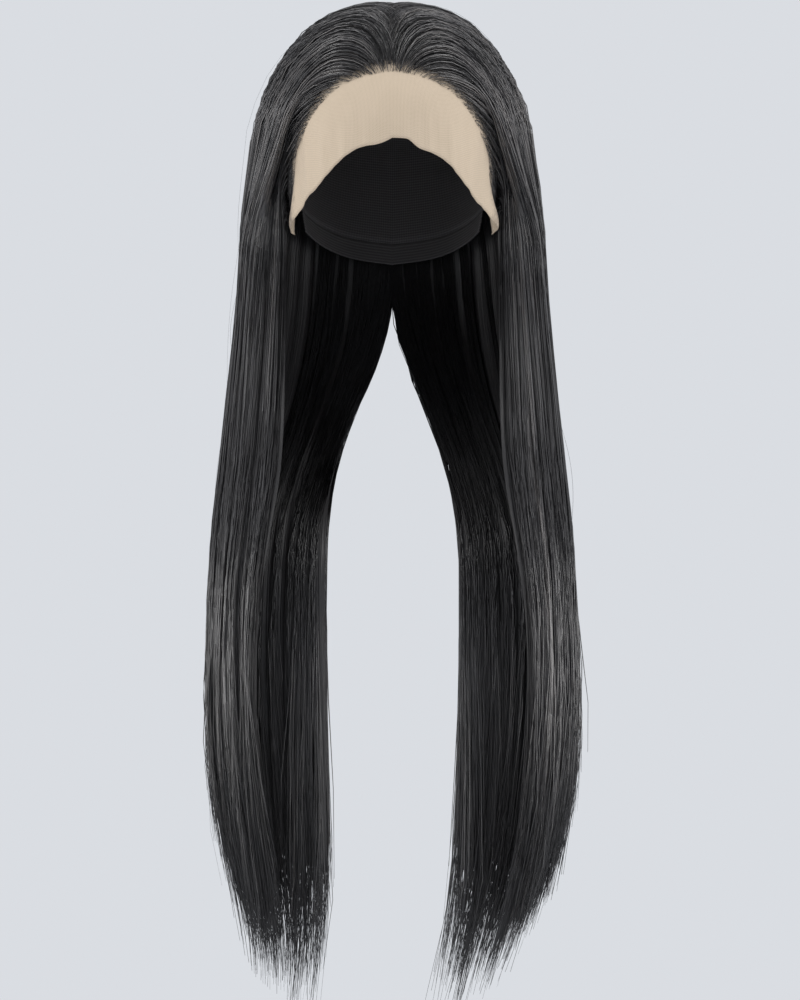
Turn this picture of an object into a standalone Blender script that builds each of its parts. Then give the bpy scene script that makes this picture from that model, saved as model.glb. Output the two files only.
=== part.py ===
"""Long straight lace front wig, in the form that it takes on a head.

The face looks along -Y, and +X is at the viewer's right. The origin is the inside of the cap at
the top of the head, so the whole wig hangs below it. All sizes are in metres, angles in degrees.

A place on the head is an azimuth, 0 at the forehead, 90 over the ear and 180 at the nape, and an
elevation, 90 at the crown, 0 at the head's widest level and below 0 under it.

A strand's place in the hair is its order, from 0 at the front edge beside the face, through the
middle of the forehead, over the crown, to 1 at the nape. Order runs across the hair, and each
strand runs from its root, over the head and down one of the two falls.
"""

import math
from collections import namedtuple

import bmesh
import bpy
from mathutils import Vector

# The head that the wig fits is 550 mm round
HEAD_HALF_WIDTH = 0.0765
HEAD_HALF_DEPTH = 0.097
HEAD_CROWN_HEIGHT = 0.086
HEAD_TAPER_DEPTH = 0.160
LOW_ANGLE = 45.0
LOW_DEPTH = 0.090

# Net, lace and elastic, whose walls share one spacing of columns so that their seams match
NET_THICKNESS = 0.0012
SEAM_GAP = 0.0004
COLUMN_ANGLE = 7.5
CAP_ROWS = 8
BAND_HEIGHT_ANGLE = 8.0
BAND_THICKNESS = 0.0016
BAND_AZIMUTHS = (112.5, 247.5)
LACE_ROWS = 9
LACE_LAST_AZIMUTH = 90.0
LACE_TAB_AZIMUTH = 66.0
LACE_TAB_WIDTH = 12.0
LACE_TAB_LIFT = 0.0028
LACE_TAB_START = 0.72
LACE_CREASE_ANGLE = 44.0
LACE_CREASE_DEPTH = 0.0008
LACE_CREASE_START = 0.55

# Outer form of the hair on the head
HAIR_HALF_WIDTH = 0.1035
HAIR_HALF_DEPTH = 0.1140
HAIR_TOP = 0.0150
HAIR_LOW_FLARE = 0.0095
HAIR_CLEARANCE = 0.0018
HAIR_LEAST_THICKNESS = 0.0022
PARTING_HALF_GAP = 0.0005

# Depth of the hair as a share of its full depth: at the hairline, at the parting and at the
# temple, with the shares of a strand or of the order over which it rises to full
HAIRLINE_DEPTH = 0.10
PARTING_DEPTH = 0.80
TEMPLE_DEPTH = 0.22
RISE_FROM_HAIRLINE = 0.42
RISE_FROM_PARTING = 0.20
RISE_BEHIND_HAIRLINE = 0.08
RISE_FROM_TEMPLE = 0.11

# Division of the hair
FOREHEAD_ORDER = 0.36
CROWN_ORDER = 0.68
SECTION_GAP = 0.0060
ORDER_STEP = 0.002
LOCKS_PER_SECTION = 4
COLUMNS_PER_LOCK = 4
HEAD_ROWS = 9
FALL_ROWS = 10

# Locks, which are rounded across, come to points with notches between, and grow thin below
LOCK_RELIEF_AT_ROOT = 0.0006
LOCK_RELIEF_IN_FALL = 0.0026
LOCK_ROUNDNESS = 0.7
NOTCH_DEPTH = 0.045
UNEVEN_TIPS = 0.012
TIP_THICKNESS = 0.0016
TIP_INSET = 0.004
THINNING_START = 0.55
HANG_START = 0.5
INNER_RELIEF_RISE = 0.3
NAPE_DEPTH_SHARE = 0.62

EdgePoint = namedtuple("EdgePoint", "azimuth z")
EdgeAngle = namedtuple("EdgeAngle", "azimuth elevation")
FallLevel = namedtuple("FallLevel", "z front side rear inner thickness")
TipEnd = namedtuple("TipEnd", "order z")
Crest = namedtuple("Crest", "order azimuth elevation")

# Hairline, from in front of the ear up to the middle of the forehead
HAIRLINE = (
    EdgePoint(77.0, -0.1500),
    EdgePoint(78.5, -0.1340),
    EdgePoint(78.5, -0.1170),
    EdgePoint(73.0, -0.0986),
    EdgePoint(62.1, -0.0842),
    EdgePoint(49.6, -0.0675),
    EdgePoint(36.5, -0.0540),
    EdgePoint(22.4, -0.0465),
    EdgePoint(10.0, -0.0430),
    EdgePoint(0.0, -0.0420),
)

# Front edge of the lace, an arch from the middle of the forehead to the ear tab
LACE_EDGE = (
    EdgePoint(0.0, -0.0960),
    EdgePoint(18.9, -0.1030),
    EdgePoint(32.2, -0.1126),
    EdgePoint(47.5, -0.1270),
    EdgePoint(64.0, -0.1390),
    EdgePoint(79.4, -0.1475),
    EdgePoint(90.0, -0.1530),
)

# Edge of the cap: its seam with the lace, the ear and the nape
CAP_EDGE = (
    EdgeAngle(0.0, 50.0),
    EdgeAngle(30.0, 47.0),
    EdgeAngle(60.0, 33.0),
    EdgeAngle(80.0, 8.0),
    EdgeAngle(95.0, -16.0),
    EdgeAngle(115.0, -25.0),
    EdgeAngle(145.0, -32.0),
    EdgeAngle(180.0, -35.0),
)

# Way that the hair is combed on the head: each strand bends towards a crest on its way down
COMBING = (
    Crest(0.00, 81.8, -24.0),
    Crest(0.09, 81.5, -15.7),
    Crest(0.18, 78.6, 14.7),
    Crest(0.27, 65.0, 54.0),
    Crest(0.36, 56.5, 68.0),
    Crest(0.44, 62.0, 74.0),
    Crest(0.52, 80.0, 68.0),
    Crest(0.60, 102.0, 60.0),
    Crest(0.68, 124.0, 48.0),
    Crest(0.84, 152.0, 14.0),
    Crest(1.00, 176.0, -38.0),
)

# Outline of one fall seen from above, at each level. front is the edge beside the face, side the
# outermost place, rear the rearmost and inner the edge at the nape, which comes forward lower down
FALL = (
    FallLevel(-0.176, (0.0785, -0.008), (0.1130, 0.010), (0.068, 0.092), (0.0006, 0.110), 0.016),
    FallLevel(-0.215, (0.0780, -0.026), (0.1155, 0.002), (0.070, 0.084), (0.0040, 0.102), 0.015),
    FallLevel(-0.255, (0.0778, -0.048), (0.1185, -0.014), (0.076, 0.066), (0.0160, 0.086), 0.014),
    FallLevel(-0.295, (0.0778, -0.070), (0.1220, -0.034), (0.086, 0.038), (0.0340, 0.058), 0.014),
    FallLevel(-0.335, (0.0800, -0.088), (0.1255, -0.054), (0.097, 0.004), (0.0450, 0.014), 0.012),
    FallLevel(-0.380, (0.0870, -0.100), (0.1295, -0.070), (0.103, -0.026), (0.0470, -0.036), 0.010),
    FallLevel(-0.430, (0.0940, -0.105), (0.1320, -0.078), (0.106, -0.046), (0.0468, -0.062), 0.010),
    FallLevel(-0.490, (0.0960, -0.106), (0.1323, -0.082), (0.106, -0.052), (0.0465, -0.069), 0.010),
    FallLevel(-0.550, (0.0940, -0.105), (0.1275, -0.083), (0.102, -0.055), (0.0460, -0.072), 0.009),
    FallLevel(-0.610, (0.0880, -0.102), (0.1150, -0.083), (0.094, -0.059), (0.0455, -0.074), 0.008),
    FallLevel(-0.665, (0.0790, -0.098), (0.0980, -0.083), (0.082, -0.064), (0.0450, -0.075), 0.006),
    FallLevel(-0.720, (0.0720, -0.095), (0.0880, -0.083), (0.075, -0.067), (0.0440, -0.075), 0.004),
)

# Where the locks end, from the face round the outside to the nape hair
TIP_ENDS = (
    TipEnd(0.00, -0.680),
    TipEnd(0.20, -0.662),
    TipEnd(0.36, -0.648),
    TipEnd(0.55, -0.662),
    TipEnd(0.75, -0.690),
    TipEnd(1.00, -0.706),
)


def clear_scene():
    """Removes every object, so that the file holds the wig alone."""
    for item in list(bpy.data.objects):
        bpy.data.objects.remove(item)


def smooth_step(share):
    """0 below 0, 1 above 1 and a soft rise between."""
    share = min(max(share, 0.0), 1.0)
    return share * share * (3.0 - 2.0 * share)


def cubic(start, end, start_slope, end_slope, share):
    """A point on the cubic from start to end with the given slopes."""
    square = share * share
    cube = square * share
    return (
        (2.0 * cube - 3.0 * square + 1.0) * start
        + (cube - 2.0 * square + share) * start_slope
        + (3.0 * square - 2.0 * cube) * end
        + (cube - square) * end_slope
    )


def smooth_lookup(stations, values, place):
    """Value at a place on a smooth curve through values at rising stations."""
    last = len(stations) - 1
    place = min(max(place, stations[0]), stations[last])
    index = max(i for i in range(last) if stations[i] <= place or i == 0)

    def slope(i):
        low = max(i - 1, 0)
        high = min(i + 1, last)
        return (values[high] - values[low]) / (stations[high] - stations[low])

    width = stations[index + 1] - stations[index]
    share = (place - stations[index]) / width
    return cubic(values[index], values[index + 1], slope(index) * width, slope(index + 1) * width, share)


def elevation_of(z):
    """Elevation, in degrees, of a level on the head."""
    above = z + HEAD_CROWN_HEIGHT
    if above >= 0.0:
        return math.degrees(math.asin(above / HEAD_CROWN_HEIGHT))
    return above / LOW_DEPTH * LOW_ANGLE


def head_point(azimuth, elevation, offset):
    """A point at a distance outside the head, which narrows below its widest level."""
    turn = math.radians(azimuth)
    if elevation >= 0.0:
        lean = math.radians(elevation)
        reach = math.cos(lean)
        z = -HEAD_CROWN_HEIGHT + (HEAD_CROWN_HEIGHT + offset) * math.sin(lean)
    else:
        depth = -elevation / LOW_ANGLE * LOW_DEPTH
        reach = math.sqrt(1.0 - (depth / HEAD_TAPER_DEPTH) ** 2)
        z = -HEAD_CROWN_HEIGHT - depth
    x = (HEAD_HALF_WIDTH + offset) * reach * math.sin(turn)
    y = -(HEAD_HALF_DEPTH + offset) * reach * math.cos(turn)
    return Vector((x, y, z))


def hair_dome_point(azimuth, elevation):
    """A point on the full outer form of the hair above the nape level."""
    turn = math.radians(azimuth)
    width = HAIR_HALF_WIDTH
    depth = HAIR_HALF_DEPTH
    if elevation >= 0.0:
        lean = math.radians(elevation)
        reach = math.cos(lean)
        z = -HEAD_CROWN_HEIGHT + (HEAD_CROWN_HEIGHT + HAIR_TOP) * math.sin(lean)
    else:
        reach = 1.0
        drop = -elevation / LOW_ANGLE
        width += HAIR_LOW_FLARE * drop
        z = -HEAD_CROWN_HEIGHT - drop * LOW_DEPTH
    return Vector((width * reach * math.sin(turn), -depth * reach * math.cos(turn), z))


def direction(azimuth, elevation):
    """Unit vector of a place on the head."""
    turn = math.radians(azimuth)
    lean = math.radians(elevation)
    return Vector((math.cos(lean) * math.sin(turn), -math.cos(lean) * math.cos(turn), math.sin(lean)))


def angles_of(unit):
    """Azimuth and elevation of a unit vector."""
    return math.degrees(math.atan2(unit.x, -unit.y)), math.degrees(math.asin(max(-1.0, min(1.0, unit.z))))


def fall_at(z):
    """The outline points and the thickness of a fall at a level."""
    stations = [-level.z for level in FALL]
    points = []
    for name in ("front", "side", "rear", "inner"):
        values = [Vector(getattr(level, name)) for level in FALL]
        points.append(smooth_lookup(stations, values, -z))
    thickness = smooth_lookup(stations, [level.thickness for level in FALL], -z)
    return points, thickness


def plan_point(points, order):
    """A point on the outline of a fall seen from above, at a strand's order."""
    front, side, rear, inner = points
    slopes = (
        Vector(((side - front).length * 1.35, 0.0)),
        Vector((0.0, ((side - front).length + (rear - side).length) * 0.5)),
        (inner - side) * 0.5,
        inner - rear,
    )
    breaks = (0.0, FOREHEAD_ORDER, CROWN_ORDER, 1.0)
    index = min(sum(order > b for b in breaks[1:3]), 2)
    share = (order - breaks[index]) / (breaks[index + 1] - breaks[index])
    return cubic(points[index], points[index + 1], slopes[index], slopes[index + 1], share)


def fall_wall(order, z):
    """Outer point and inward direction of a fall's wall, with its thickness."""
    points, thickness = fall_at(z)
    here = plan_point(points, order)
    ahead = plan_point(points, min(order + ORDER_STEP, 1.0))
    behind = plan_point(points, max(order - ORDER_STEP, 0.0))
    along = (ahead - behind).normalized()
    return Vector((here.x, here.y, z)), Vector((-along.y, along.x, 0.0)), thickness


def root_angles(order):
    """Azimuth and elevation of a root: on the hairline, then back along the parting to the nape."""
    if order <= FOREHEAD_ORDER:
        stations = [FOREHEAD_ORDER * i / (len(HAIRLINE) - 1) for i in range(len(HAIRLINE))]
        azimuth = smooth_lookup(stations, [point.azimuth for point in HAIRLINE], order)
        z = smooth_lookup(stations, [point.z for point in HAIRLINE], order)
        return max(azimuth, 0.0), elevation_of(z)
    first = elevation_of(HAIRLINE[-1].z)
    last = 180.0 + NAPE_DEPTH_SHARE * LOW_ANGLE
    sweep = first + (last - first) * (order - FOREHEAD_ORDER) / (1.0 - FOREHEAD_ORDER)
    if sweep <= 90.0:
        return 0.0, sweep
    return 180.0, 180.0 - sweep


def crest_direction(order):
    """Direction of the crest that a strand bends towards."""
    stations = [crest.order for crest in COMBING]
    directions = [direction(crest.azimuth, crest.elevation) for crest in COMBING]
    return smooth_lookup(stations, directions, order).normalized()


def strand_angles(order, share):
    """Azimuth and elevation of a strand on the head, share 0 at its root and 1 at the nape level."""
    root = direction(*root_angles(order))
    points, _ = fall_at(FALL[0].z)
    ring = plan_point(points, order)
    leaving = direction(math.degrees(math.atan2(ring.x, -ring.y)), -LOW_ANGLE)
    crest = crest_direction(order)
    rest = 1.0 - share
    along = rest * rest * root + 2.0 * share * rest * crest + share * share * leaving
    return angles_of(along.normalized())


def fullness(order, share):
    """How much of the hair's full depth a place on the head has."""
    behind_hairline = smooth_step((order - FOREHEAD_ORDER) / RISE_BEHIND_HAIRLINE)
    at_root = HAIRLINE_DEPTH + (PARTING_DEPTH - HAIRLINE_DEPTH) * behind_hairline
    rise = RISE_FROM_HAIRLINE + (RISE_FROM_PARTING - RISE_FROM_HAIRLINE) * behind_hairline
    full = at_root + (1.0 - at_root) * smooth_step(share / rise)
    return full * (TEMPLE_DEPTH + (1.0 - TEMPLE_DEPTH) * smooth_step(order / RISE_FROM_TEMPLE))


def lock_relief(order, first, last, depth):
    """Height of the rounded locks above the mean surface of a section."""
    lock_share = (order - first) / (last - first) * LOCKS_PER_SECTION
    rounding = math.sin(math.pi * (lock_share - math.floor(lock_share)))
    return depth * (max(rounding, 0.0) ** LOCK_ROUNDNESS - 0.5)


def head_wall(order, share):
    """Inner and outer points of the hair on the head."""
    azimuth, elevation = strand_angles(order, share)
    inner = head_point(azimuth, elevation, NET_THICKNESS + HAIR_CLEARANCE)
    outer = inner.lerp(hair_dome_point(azimuth, elevation), fullness(order, share))
    out = (hair_dome_point(azimuth, elevation) - inner).normalized()
    if (outer - inner).length < HAIR_LEAST_THICKNESS:
        outer = inner + out * HAIR_LEAST_THICKNESS
    hang = smooth_step((share - HANG_START) / (1.0 - HANG_START))
    place, inward, thickness = fall_wall(order, FALL[0].z)
    hung_outer = Vector((place.x, place.y, outer.z))
    hung_inner = Vector((place.x, place.y, inner.z)) + inward * thickness
    return inner.lerp(hung_inner, hang), outer.lerp(hung_outer, hang)


def tip_level(order, first, last):
    """Level at which a column of a section ends: locks come to points, with notches between."""
    stations = [end.order for end in TIP_ENDS]
    end = smooth_lookup(stations, [end.z for end in TIP_ENDS], order)
    lock_share = (order - first) / (last - first) * LOCKS_PER_SECTION
    lock = min(int(lock_share), LOCKS_PER_SECTION - 1)
    uneven = UNEVEN_TIPS * math.sin(lock * lock + 5.0 * first)
    from_middle = abs(2.0 * (lock_share - lock) - 1.0)
    return end + uneven * (1.0 - from_middle) + NOTCH_DEPTH * from_middle


def keep_off_parting(point):
    """Holds a point on its own side of the middle of the head."""
    point.x = max(point.x, PARTING_HALF_GAP)
    return point


def hair_walls(order, run, first, last):
    """Inner and outer points of a section of hair, run 0 at the roots and 1 at the tips."""
    head_share = HEAD_ROWS / (HEAD_ROWS + FALL_ROWS)
    if run <= head_share:
        share = run / head_share
        inner, outer = head_wall(order, share)
        depth = LOCK_RELIEF_AT_ROOT + (LOCK_RELIEF_IN_FALL - LOCK_RELIEF_AT_ROOT) * share
        inner_depth = 0.0
    else:
        share = (run - head_share) / (1.0 - head_share)
        end = tip_level(order, first, last)
        z = FALL[0].z + (end - FALL[0].z) * share
        outer, inward, thickness = fall_wall(order, z)
        thin = smooth_step((share - THINNING_START) / (1.0 - THINNING_START))
        thickness = thickness + (TIP_THICKNESS - thickness) * thin
        outer = outer + inward * TIP_INSET * thin
        inner = outer + inward * thickness
        depth = LOCK_RELIEF_IN_FALL * (1.0 - thin)
        inner_depth = depth * smooth_step(share / INNER_RELIEF_RISE)
    out = (outer - inner).normalized()
    outer = outer + out * lock_relief(order, first, last, depth)
    inner = inner - out * lock_relief(order, first, last, inner_depth)
    return keep_off_parting(inner), keep_off_parting(outer)


def dress(item, colour, roughness):
    """Gives an object its own plain material."""
    material = bpy.data.materials.new(item.name)
    material.use_nodes = True
    surface = material.node_tree.nodes["Principled BSDF"]
    surface.inputs["Base Color"].default_value = (*colour, 1.0)
    surface.inputs["Roughness"].default_value = roughness
    surface.inputs["Metallic"].default_value = 0.0
    item.data.materials.append(material)


def closed_wall(name, columns, rows, walls, mirrored, colour, roughness):
    """Builds a closed wall from walls(across, down), which gives an inner and an outer point."""
    shape = bmesh.new()
    bmesh.ops.create_grid(shape, x_segments=columns, y_segments=rows, size=0.5)
    inner_side = list(shape.verts)
    made = bmesh.ops.extrude_face_region(shape, geom=shape.faces[:])
    outer_side = [part for part in made["geom"] if isinstance(part, bmesh.types.BMVert)]
    side = -1.0 if mirrored else 1.0
    for group, pick in ((inner_side, 0), (outer_side, 1)):
        for vertex in group:
            point = walls(vertex.co.x + 0.5, 0.5 - vertex.co.y)[pick]
            vertex.co = Vector((side * point.x, point.y, point.z))
    bmesh.ops.recalc_face_normals(shape, faces=shape.faces[:])
    mesh = bpy.data.meshes.new(name)
    shape.to_mesh(mesh)
    shape.free()
    mesh.shade_smooth()
    item = bpy.data.objects.new(name, mesh)
    bpy.context.scene.collection.objects.link(item)
    dress(item, colour, roughness)
    return item


def build_hair(name, first, last, mirrored):
    """One section of the hair, from its roots to its tips, as rounded locks on one wall."""
    first = first + SECTION_GAP / 2.0
    last = last - SECTION_GAP / 2.0

    def walls(across, down):
        return hair_walls(first + (last - first) * across, down, first, last)

    columns = LOCKS_PER_SECTION * COLUMNS_PER_LOCK
    rows = HEAD_ROWS + FALL_ROWS
    return closed_wall(name, columns, rows, walls, mirrored, (0.030, 0.027, 0.028), 0.42)


def cap_edge_elevation(azimuth):
    """Elevation of the cap's edge at an azimuth."""
    away = abs((azimuth + 180.0) % 360.0 - 180.0)
    return smooth_lookup([p.azimuth for p in CAP_EDGE], [p.elevation for p in CAP_EDGE], away)


def build_cap():
    """The net cap, a dome from the crown to its edge."""
    columns = round(360.0 / COLUMN_ANGLE)
    shape = bmesh.new()
    rings = {}
    for offset in (0.0, NET_THICKNESS):
        pole = shape.verts.new(head_point(0.0, 90.0, offset))
        made = []
        for row in range(1, CAP_ROWS + 1):
            ring = []
            for column in range(columns):
                azimuth = COLUMN_ANGLE * column
                elevation = 90.0 + (cap_edge_elevation(azimuth) - 90.0) * row / CAP_ROWS
                ring.append(shape.verts.new(head_point(azimuth, elevation, offset)))
            made.append(ring)
        rings[offset] = (pole, made)
    for pole, made in rings.values():
        for column in range(columns):
            following = (column + 1) % columns
            shape.faces.new((pole, made[0][column], made[0][following]))
            for upper, lower in zip(made, made[1:]):
                shape.faces.new((upper[column], lower[column], lower[following], upper[following]))
    inner_rim = rings[0.0][1][-1]
    outer_rim = rings[NET_THICKNESS][1][-1]
    for column in range(columns):
        following = (column + 1) % columns
        shape.faces.new((inner_rim[column], outer_rim[column], outer_rim[following], inner_rim[following]))
    bmesh.ops.recalc_face_normals(shape, faces=shape.faces[:])
    mesh = bpy.data.meshes.new("cap")
    shape.to_mesh(mesh)
    shape.free()
    mesh.shade_smooth()
    item = bpy.data.objects.new("cap", mesh)
    bpy.context.scene.collection.objects.link(item)
    dress(item, (0.035, 0.032, 0.033), 0.9)


def build_lace():
    """The lace front, from its seam with the cap to its arched front edge, ear to ear."""
    gap_angle = math.degrees(SEAM_GAP / HEAD_CROWN_HEIGHT)

    def walls(across, down):
        azimuth = LACE_LAST_AZIMUTH * (2.0 * across - 1.0)
        away = abs(azimuth)
        top = cap_edge_elevation(azimuth) - gap_angle
        edge_z = smooth_lookup([p.azimuth for p in LACE_EDGE], [p.z for p in LACE_EDGE], away)
        bottom = elevation_of(edge_z)
        elevation = top + (bottom - top) * down
        tab = 1.0 - abs(away - LACE_TAB_AZIMUTH) / LACE_TAB_WIDTH
        at_edge = smooth_step((down - LACE_TAB_START) / (1.0 - LACE_TAB_START))
        bare = smooth_step((down - LACE_CREASE_START) / (1.0 - LACE_CREASE_START))
        wave = 0.5 + 0.5 * math.sin(2.0 * math.pi * azimuth / LACE_CREASE_ANGLE)
        lift = LACE_TAB_LIFT * smooth_step(tab) * at_edge + LACE_CREASE_DEPTH * bare * wave
        return head_point(azimuth, elevation, lift), head_point(azimuth, elevation, lift + NET_THICKNESS)

    columns = round(2.0 * LACE_LAST_AZIMUTH / COLUMN_ANGLE)
    closed_wall("lace_front", columns, LACE_ROWS, walls, False, (0.60, 0.49, 0.38), 0.8)


def build_nape_band():
    """The elastic band under the cap's rear edge."""
    gap_angle = SEAM_GAP / LOW_DEPTH * LOW_ANGLE

    def walls(across, down):
        azimuth = BAND_AZIMUTHS[0] + (BAND_AZIMUTHS[1] - BAND_AZIMUTHS[0]) * across
        top = cap_edge_elevation(azimuth) - gap_angle
        elevation = top - BAND_HEIGHT_ANGLE * down
        inner = head_point(azimuth, elevation, 0.0)
        return inner, head_point(azimuth, elevation, BAND_THICKNESS)

    columns = round((BAND_AZIMUTHS[1] - BAND_AZIMUTHS[0]) / COLUMN_ANGLE)
    closed_wall("nape_band", columns, 1, walls, False, (0.025, 0.024, 0.025), 0.85)


def main():
    clear_scene()
    build_cap()
    build_lace()
    build_nape_band()
    sections = (
        ("front", 0.0, FOREHEAD_ORDER),
        ("side", FOREHEAD_ORDER, CROWN_ORDER),
        ("back", CROWN_ORDER, 1.0),
    )
    for place, first, last in sections:
        build_hair(f"hair_{place}_right", first, last, False)
        build_hair(f"hair_{place}_left", first, last, True)


main()
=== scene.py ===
"""Looks of a long, straight, brown-black lace front wig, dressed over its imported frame.

The face looks along -Y and +X is at the viewer's right. The origin is the inside of the cap at the
top of the head. Sizes are in metres and angles in degrees, as in the wig's own source.

A strand's order is its place across the hair: 0 beside the face, up the hairline to the middle of
the forehead, back over the crown, and 1 at the nape. Its run is its place along its own length: 0
at the root and 1 at the tip. Its sink is its depth under the outer surface of the hair.
"""

import logging
import math
from dataclasses import dataclass
from enum import Enum
from typing import Any, Callable, Sequence

import bmesh
import bpy
import numpy as np
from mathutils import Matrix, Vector


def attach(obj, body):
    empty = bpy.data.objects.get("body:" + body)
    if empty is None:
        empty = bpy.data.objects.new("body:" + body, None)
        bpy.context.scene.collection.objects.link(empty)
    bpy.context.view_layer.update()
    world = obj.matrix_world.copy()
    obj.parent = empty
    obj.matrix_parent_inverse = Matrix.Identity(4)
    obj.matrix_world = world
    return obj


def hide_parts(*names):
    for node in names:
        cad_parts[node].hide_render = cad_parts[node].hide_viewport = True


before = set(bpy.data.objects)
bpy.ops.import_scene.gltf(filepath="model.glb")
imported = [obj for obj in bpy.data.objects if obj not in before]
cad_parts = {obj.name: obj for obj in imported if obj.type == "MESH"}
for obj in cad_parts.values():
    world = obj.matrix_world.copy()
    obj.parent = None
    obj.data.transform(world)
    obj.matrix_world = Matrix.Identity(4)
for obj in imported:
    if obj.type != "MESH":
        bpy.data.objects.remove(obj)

LOG = logging.getLogger("wig")
HEAD_SHARE = 0.32
FIRST_SECTION_SEED = 5
FIRST_WISP_SEED = 60


class Side(Enum):
    """The two halves of the wig, with the sign of X on each."""

    LEFT = -1.0
    RIGHT = 1.0


class Slot(Enum):
    """The finishes of the wig's pieces, listed here but given to no piece."""

    HAIR = "hair"
    LACE = "lace"
    CAP_NET = "cap_net"
    ELASTIC = "elastic"


def smooth_step(share: Any) -> Any:
    """Returns 0 below 0, 1 above 1 and a soft rise between."""
    share = np.clip(share, 0.0, 1.0)
    return share * share * (3.0 - 2.0 * share)


def rise(values: Any, start: Any, length: Any) -> Any:
    """Returns a soft rise from 0 to 1 over the stretch of the given length behind start."""
    return smooth_step((values - start) / length)


def hill(values: Any, middle: Any, width: float) -> Any:
    """Returns 1 at the middle and a soft fall to 0 on both sides of it."""
    return np.exp(-(((values - middle) / width) ** 2))


def unit(vectors: np.ndarray) -> np.ndarray:
    """Returns vectors brought to a length of 1."""
    return vectors / np.maximum(np.linalg.norm(vectors, axis=-1, keepdims=True), 1e-9)


def cubic(start: Any, end: Any, start_slope: Any, end_slope: Any, share: Any) -> Any:
    """Returns the points on a cubic from start to end that has the given slopes.

    Args:
        start, end: the points that it joins.
        start_slope, end_slope: its slopes there, over the whole of it.
        share: 0 at the start and 1 at the end.

    Returns:
        The points.
    """
    square = share * share
    cube = square * share
    return (
        (2.0 * cube - 3.0 * square + 1.0) * start
        + (cube - 2.0 * square + share) * start_slope
        + (3.0 * square - 2.0 * cube) * end
        + (cube - square) * end_slope
    )


@dataclass(frozen=True)
class SmoothTable:
    """A smooth curve through rows of values at rising stations."""

    stations: tuple[float, ...]
    rows: tuple[tuple[float, ...], ...]

    @classmethod
    def of(cls, rows: Sequence[Sequence[float]]) -> "SmoothTable":
        """Makes the curve from rows that begin with their stations."""
        return cls(tuple(row[0] for row in rows), tuple(tuple(row[1:]) for row in rows))

    def at(self, place: Any) -> np.ndarray:
        """Reads the curve.

        Args:
            place: one or more stations, which are held inside the table's range.

        Returns:
            One row of values for each place.
        """
        stations = np.array(self.stations)
        rows = np.array(self.rows)
        last = len(stations) - 1
        place = np.clip(np.asarray(place, dtype=float), stations[0], stations[last])
        index = np.clip(np.searchsorted(stations, place, side="right") - 1, 0, last - 1)
        low = np.maximum(np.arange(last + 1) - 1, 0)
        high = np.minimum(np.arange(last + 1) + 1, last)
        slopes = (rows[high] - rows[low]) / (stations[high] - stations[low])[:, None]
        width = (stations[index + 1] - stations[index])[..., None]
        share = (place[..., None] - stations[index][..., None]) / width
        return cubic(
            rows[index], rows[index + 1], slopes[index] * width, slopes[index + 1] * width, share
        )


def direction(azimuth: Any, elevation: Any) -> np.ndarray:
    """Returns the unit vectors of places on the head.

    Args:
        azimuth: 0 towards the face and 90 to the right.
        elevation: 90 at the crown.

    Returns:
        The vectors, one row each.
    """
    turn = np.radians(azimuth)
    lean = np.radians(elevation)
    level = np.cos(lean)
    parts = np.broadcast_arrays(level * np.sin(turn), -level * np.cos(turn), np.sin(lean))
    return np.stack(parts, axis=-1)


def angles_of(units: np.ndarray) -> tuple[np.ndarray, np.ndarray]:
    """Returns the azimuths and elevations of unit vectors.

    Args:
        units: the vectors, one row each.

    Returns:
        Azimuths and elevations.
    """
    azimuth = np.degrees(np.arctan2(units[..., 0], -units[..., 1]))
    return azimuth, np.degrees(np.arcsin(np.clip(units[..., 2], -1.0, 1.0)))


@dataclass(frozen=True)
class HeadForm:
    """The head that the wig fits, which narrows below its widest level."""

    half_width: float = 0.0765
    half_depth: float = 0.097
    crown_height: float = 0.086
    taper_depth: float = 0.160
    low_angle: float = 45.0
    low_depth: float = 0.090

    def elevation_of(self, z: Any) -> np.ndarray:
        """Returns the elevation of a level on the head.

        Args:
            z: the level.

        Returns:
            The elevation, in degrees.
        """
        above = np.asarray(z, dtype=float) + self.crown_height
        high = np.degrees(np.arcsin(np.clip(above / self.crown_height, -1.0, 1.0)))
        return np.where(above >= 0.0, high, above / self.low_depth * self.low_angle)

    def point(self, azimuth: Any, elevation: Any, offset: Any) -> np.ndarray:
        """Places points outside the head.

        Args:
            azimuth: 0 at the forehead, 90 over the right ear.
            elevation: 90 at the crown, 0 at the widest level.
            offset: distance from the head.

        Returns:
            The points, one row each.
        """
        turn = np.radians(azimuth)
        lean = np.radians(np.maximum(elevation, 0.0))
        depth = -np.minimum(elevation, 0.0) / self.low_angle * self.low_depth
        reach = np.where(
            np.asarray(elevation) >= 0.0, np.cos(lean), np.sqrt(1.0 - (depth / self.taper_depth) ** 2)
        )
        x = (self.half_width + offset) * reach * np.sin(turn)
        y = -(self.half_depth + offset) * reach * np.cos(turn)
        z = -self.crown_height + (self.crown_height + offset) * np.sin(lean) - depth
        return np.stack(np.broadcast_arrays(x, y, z), axis=-1)


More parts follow.
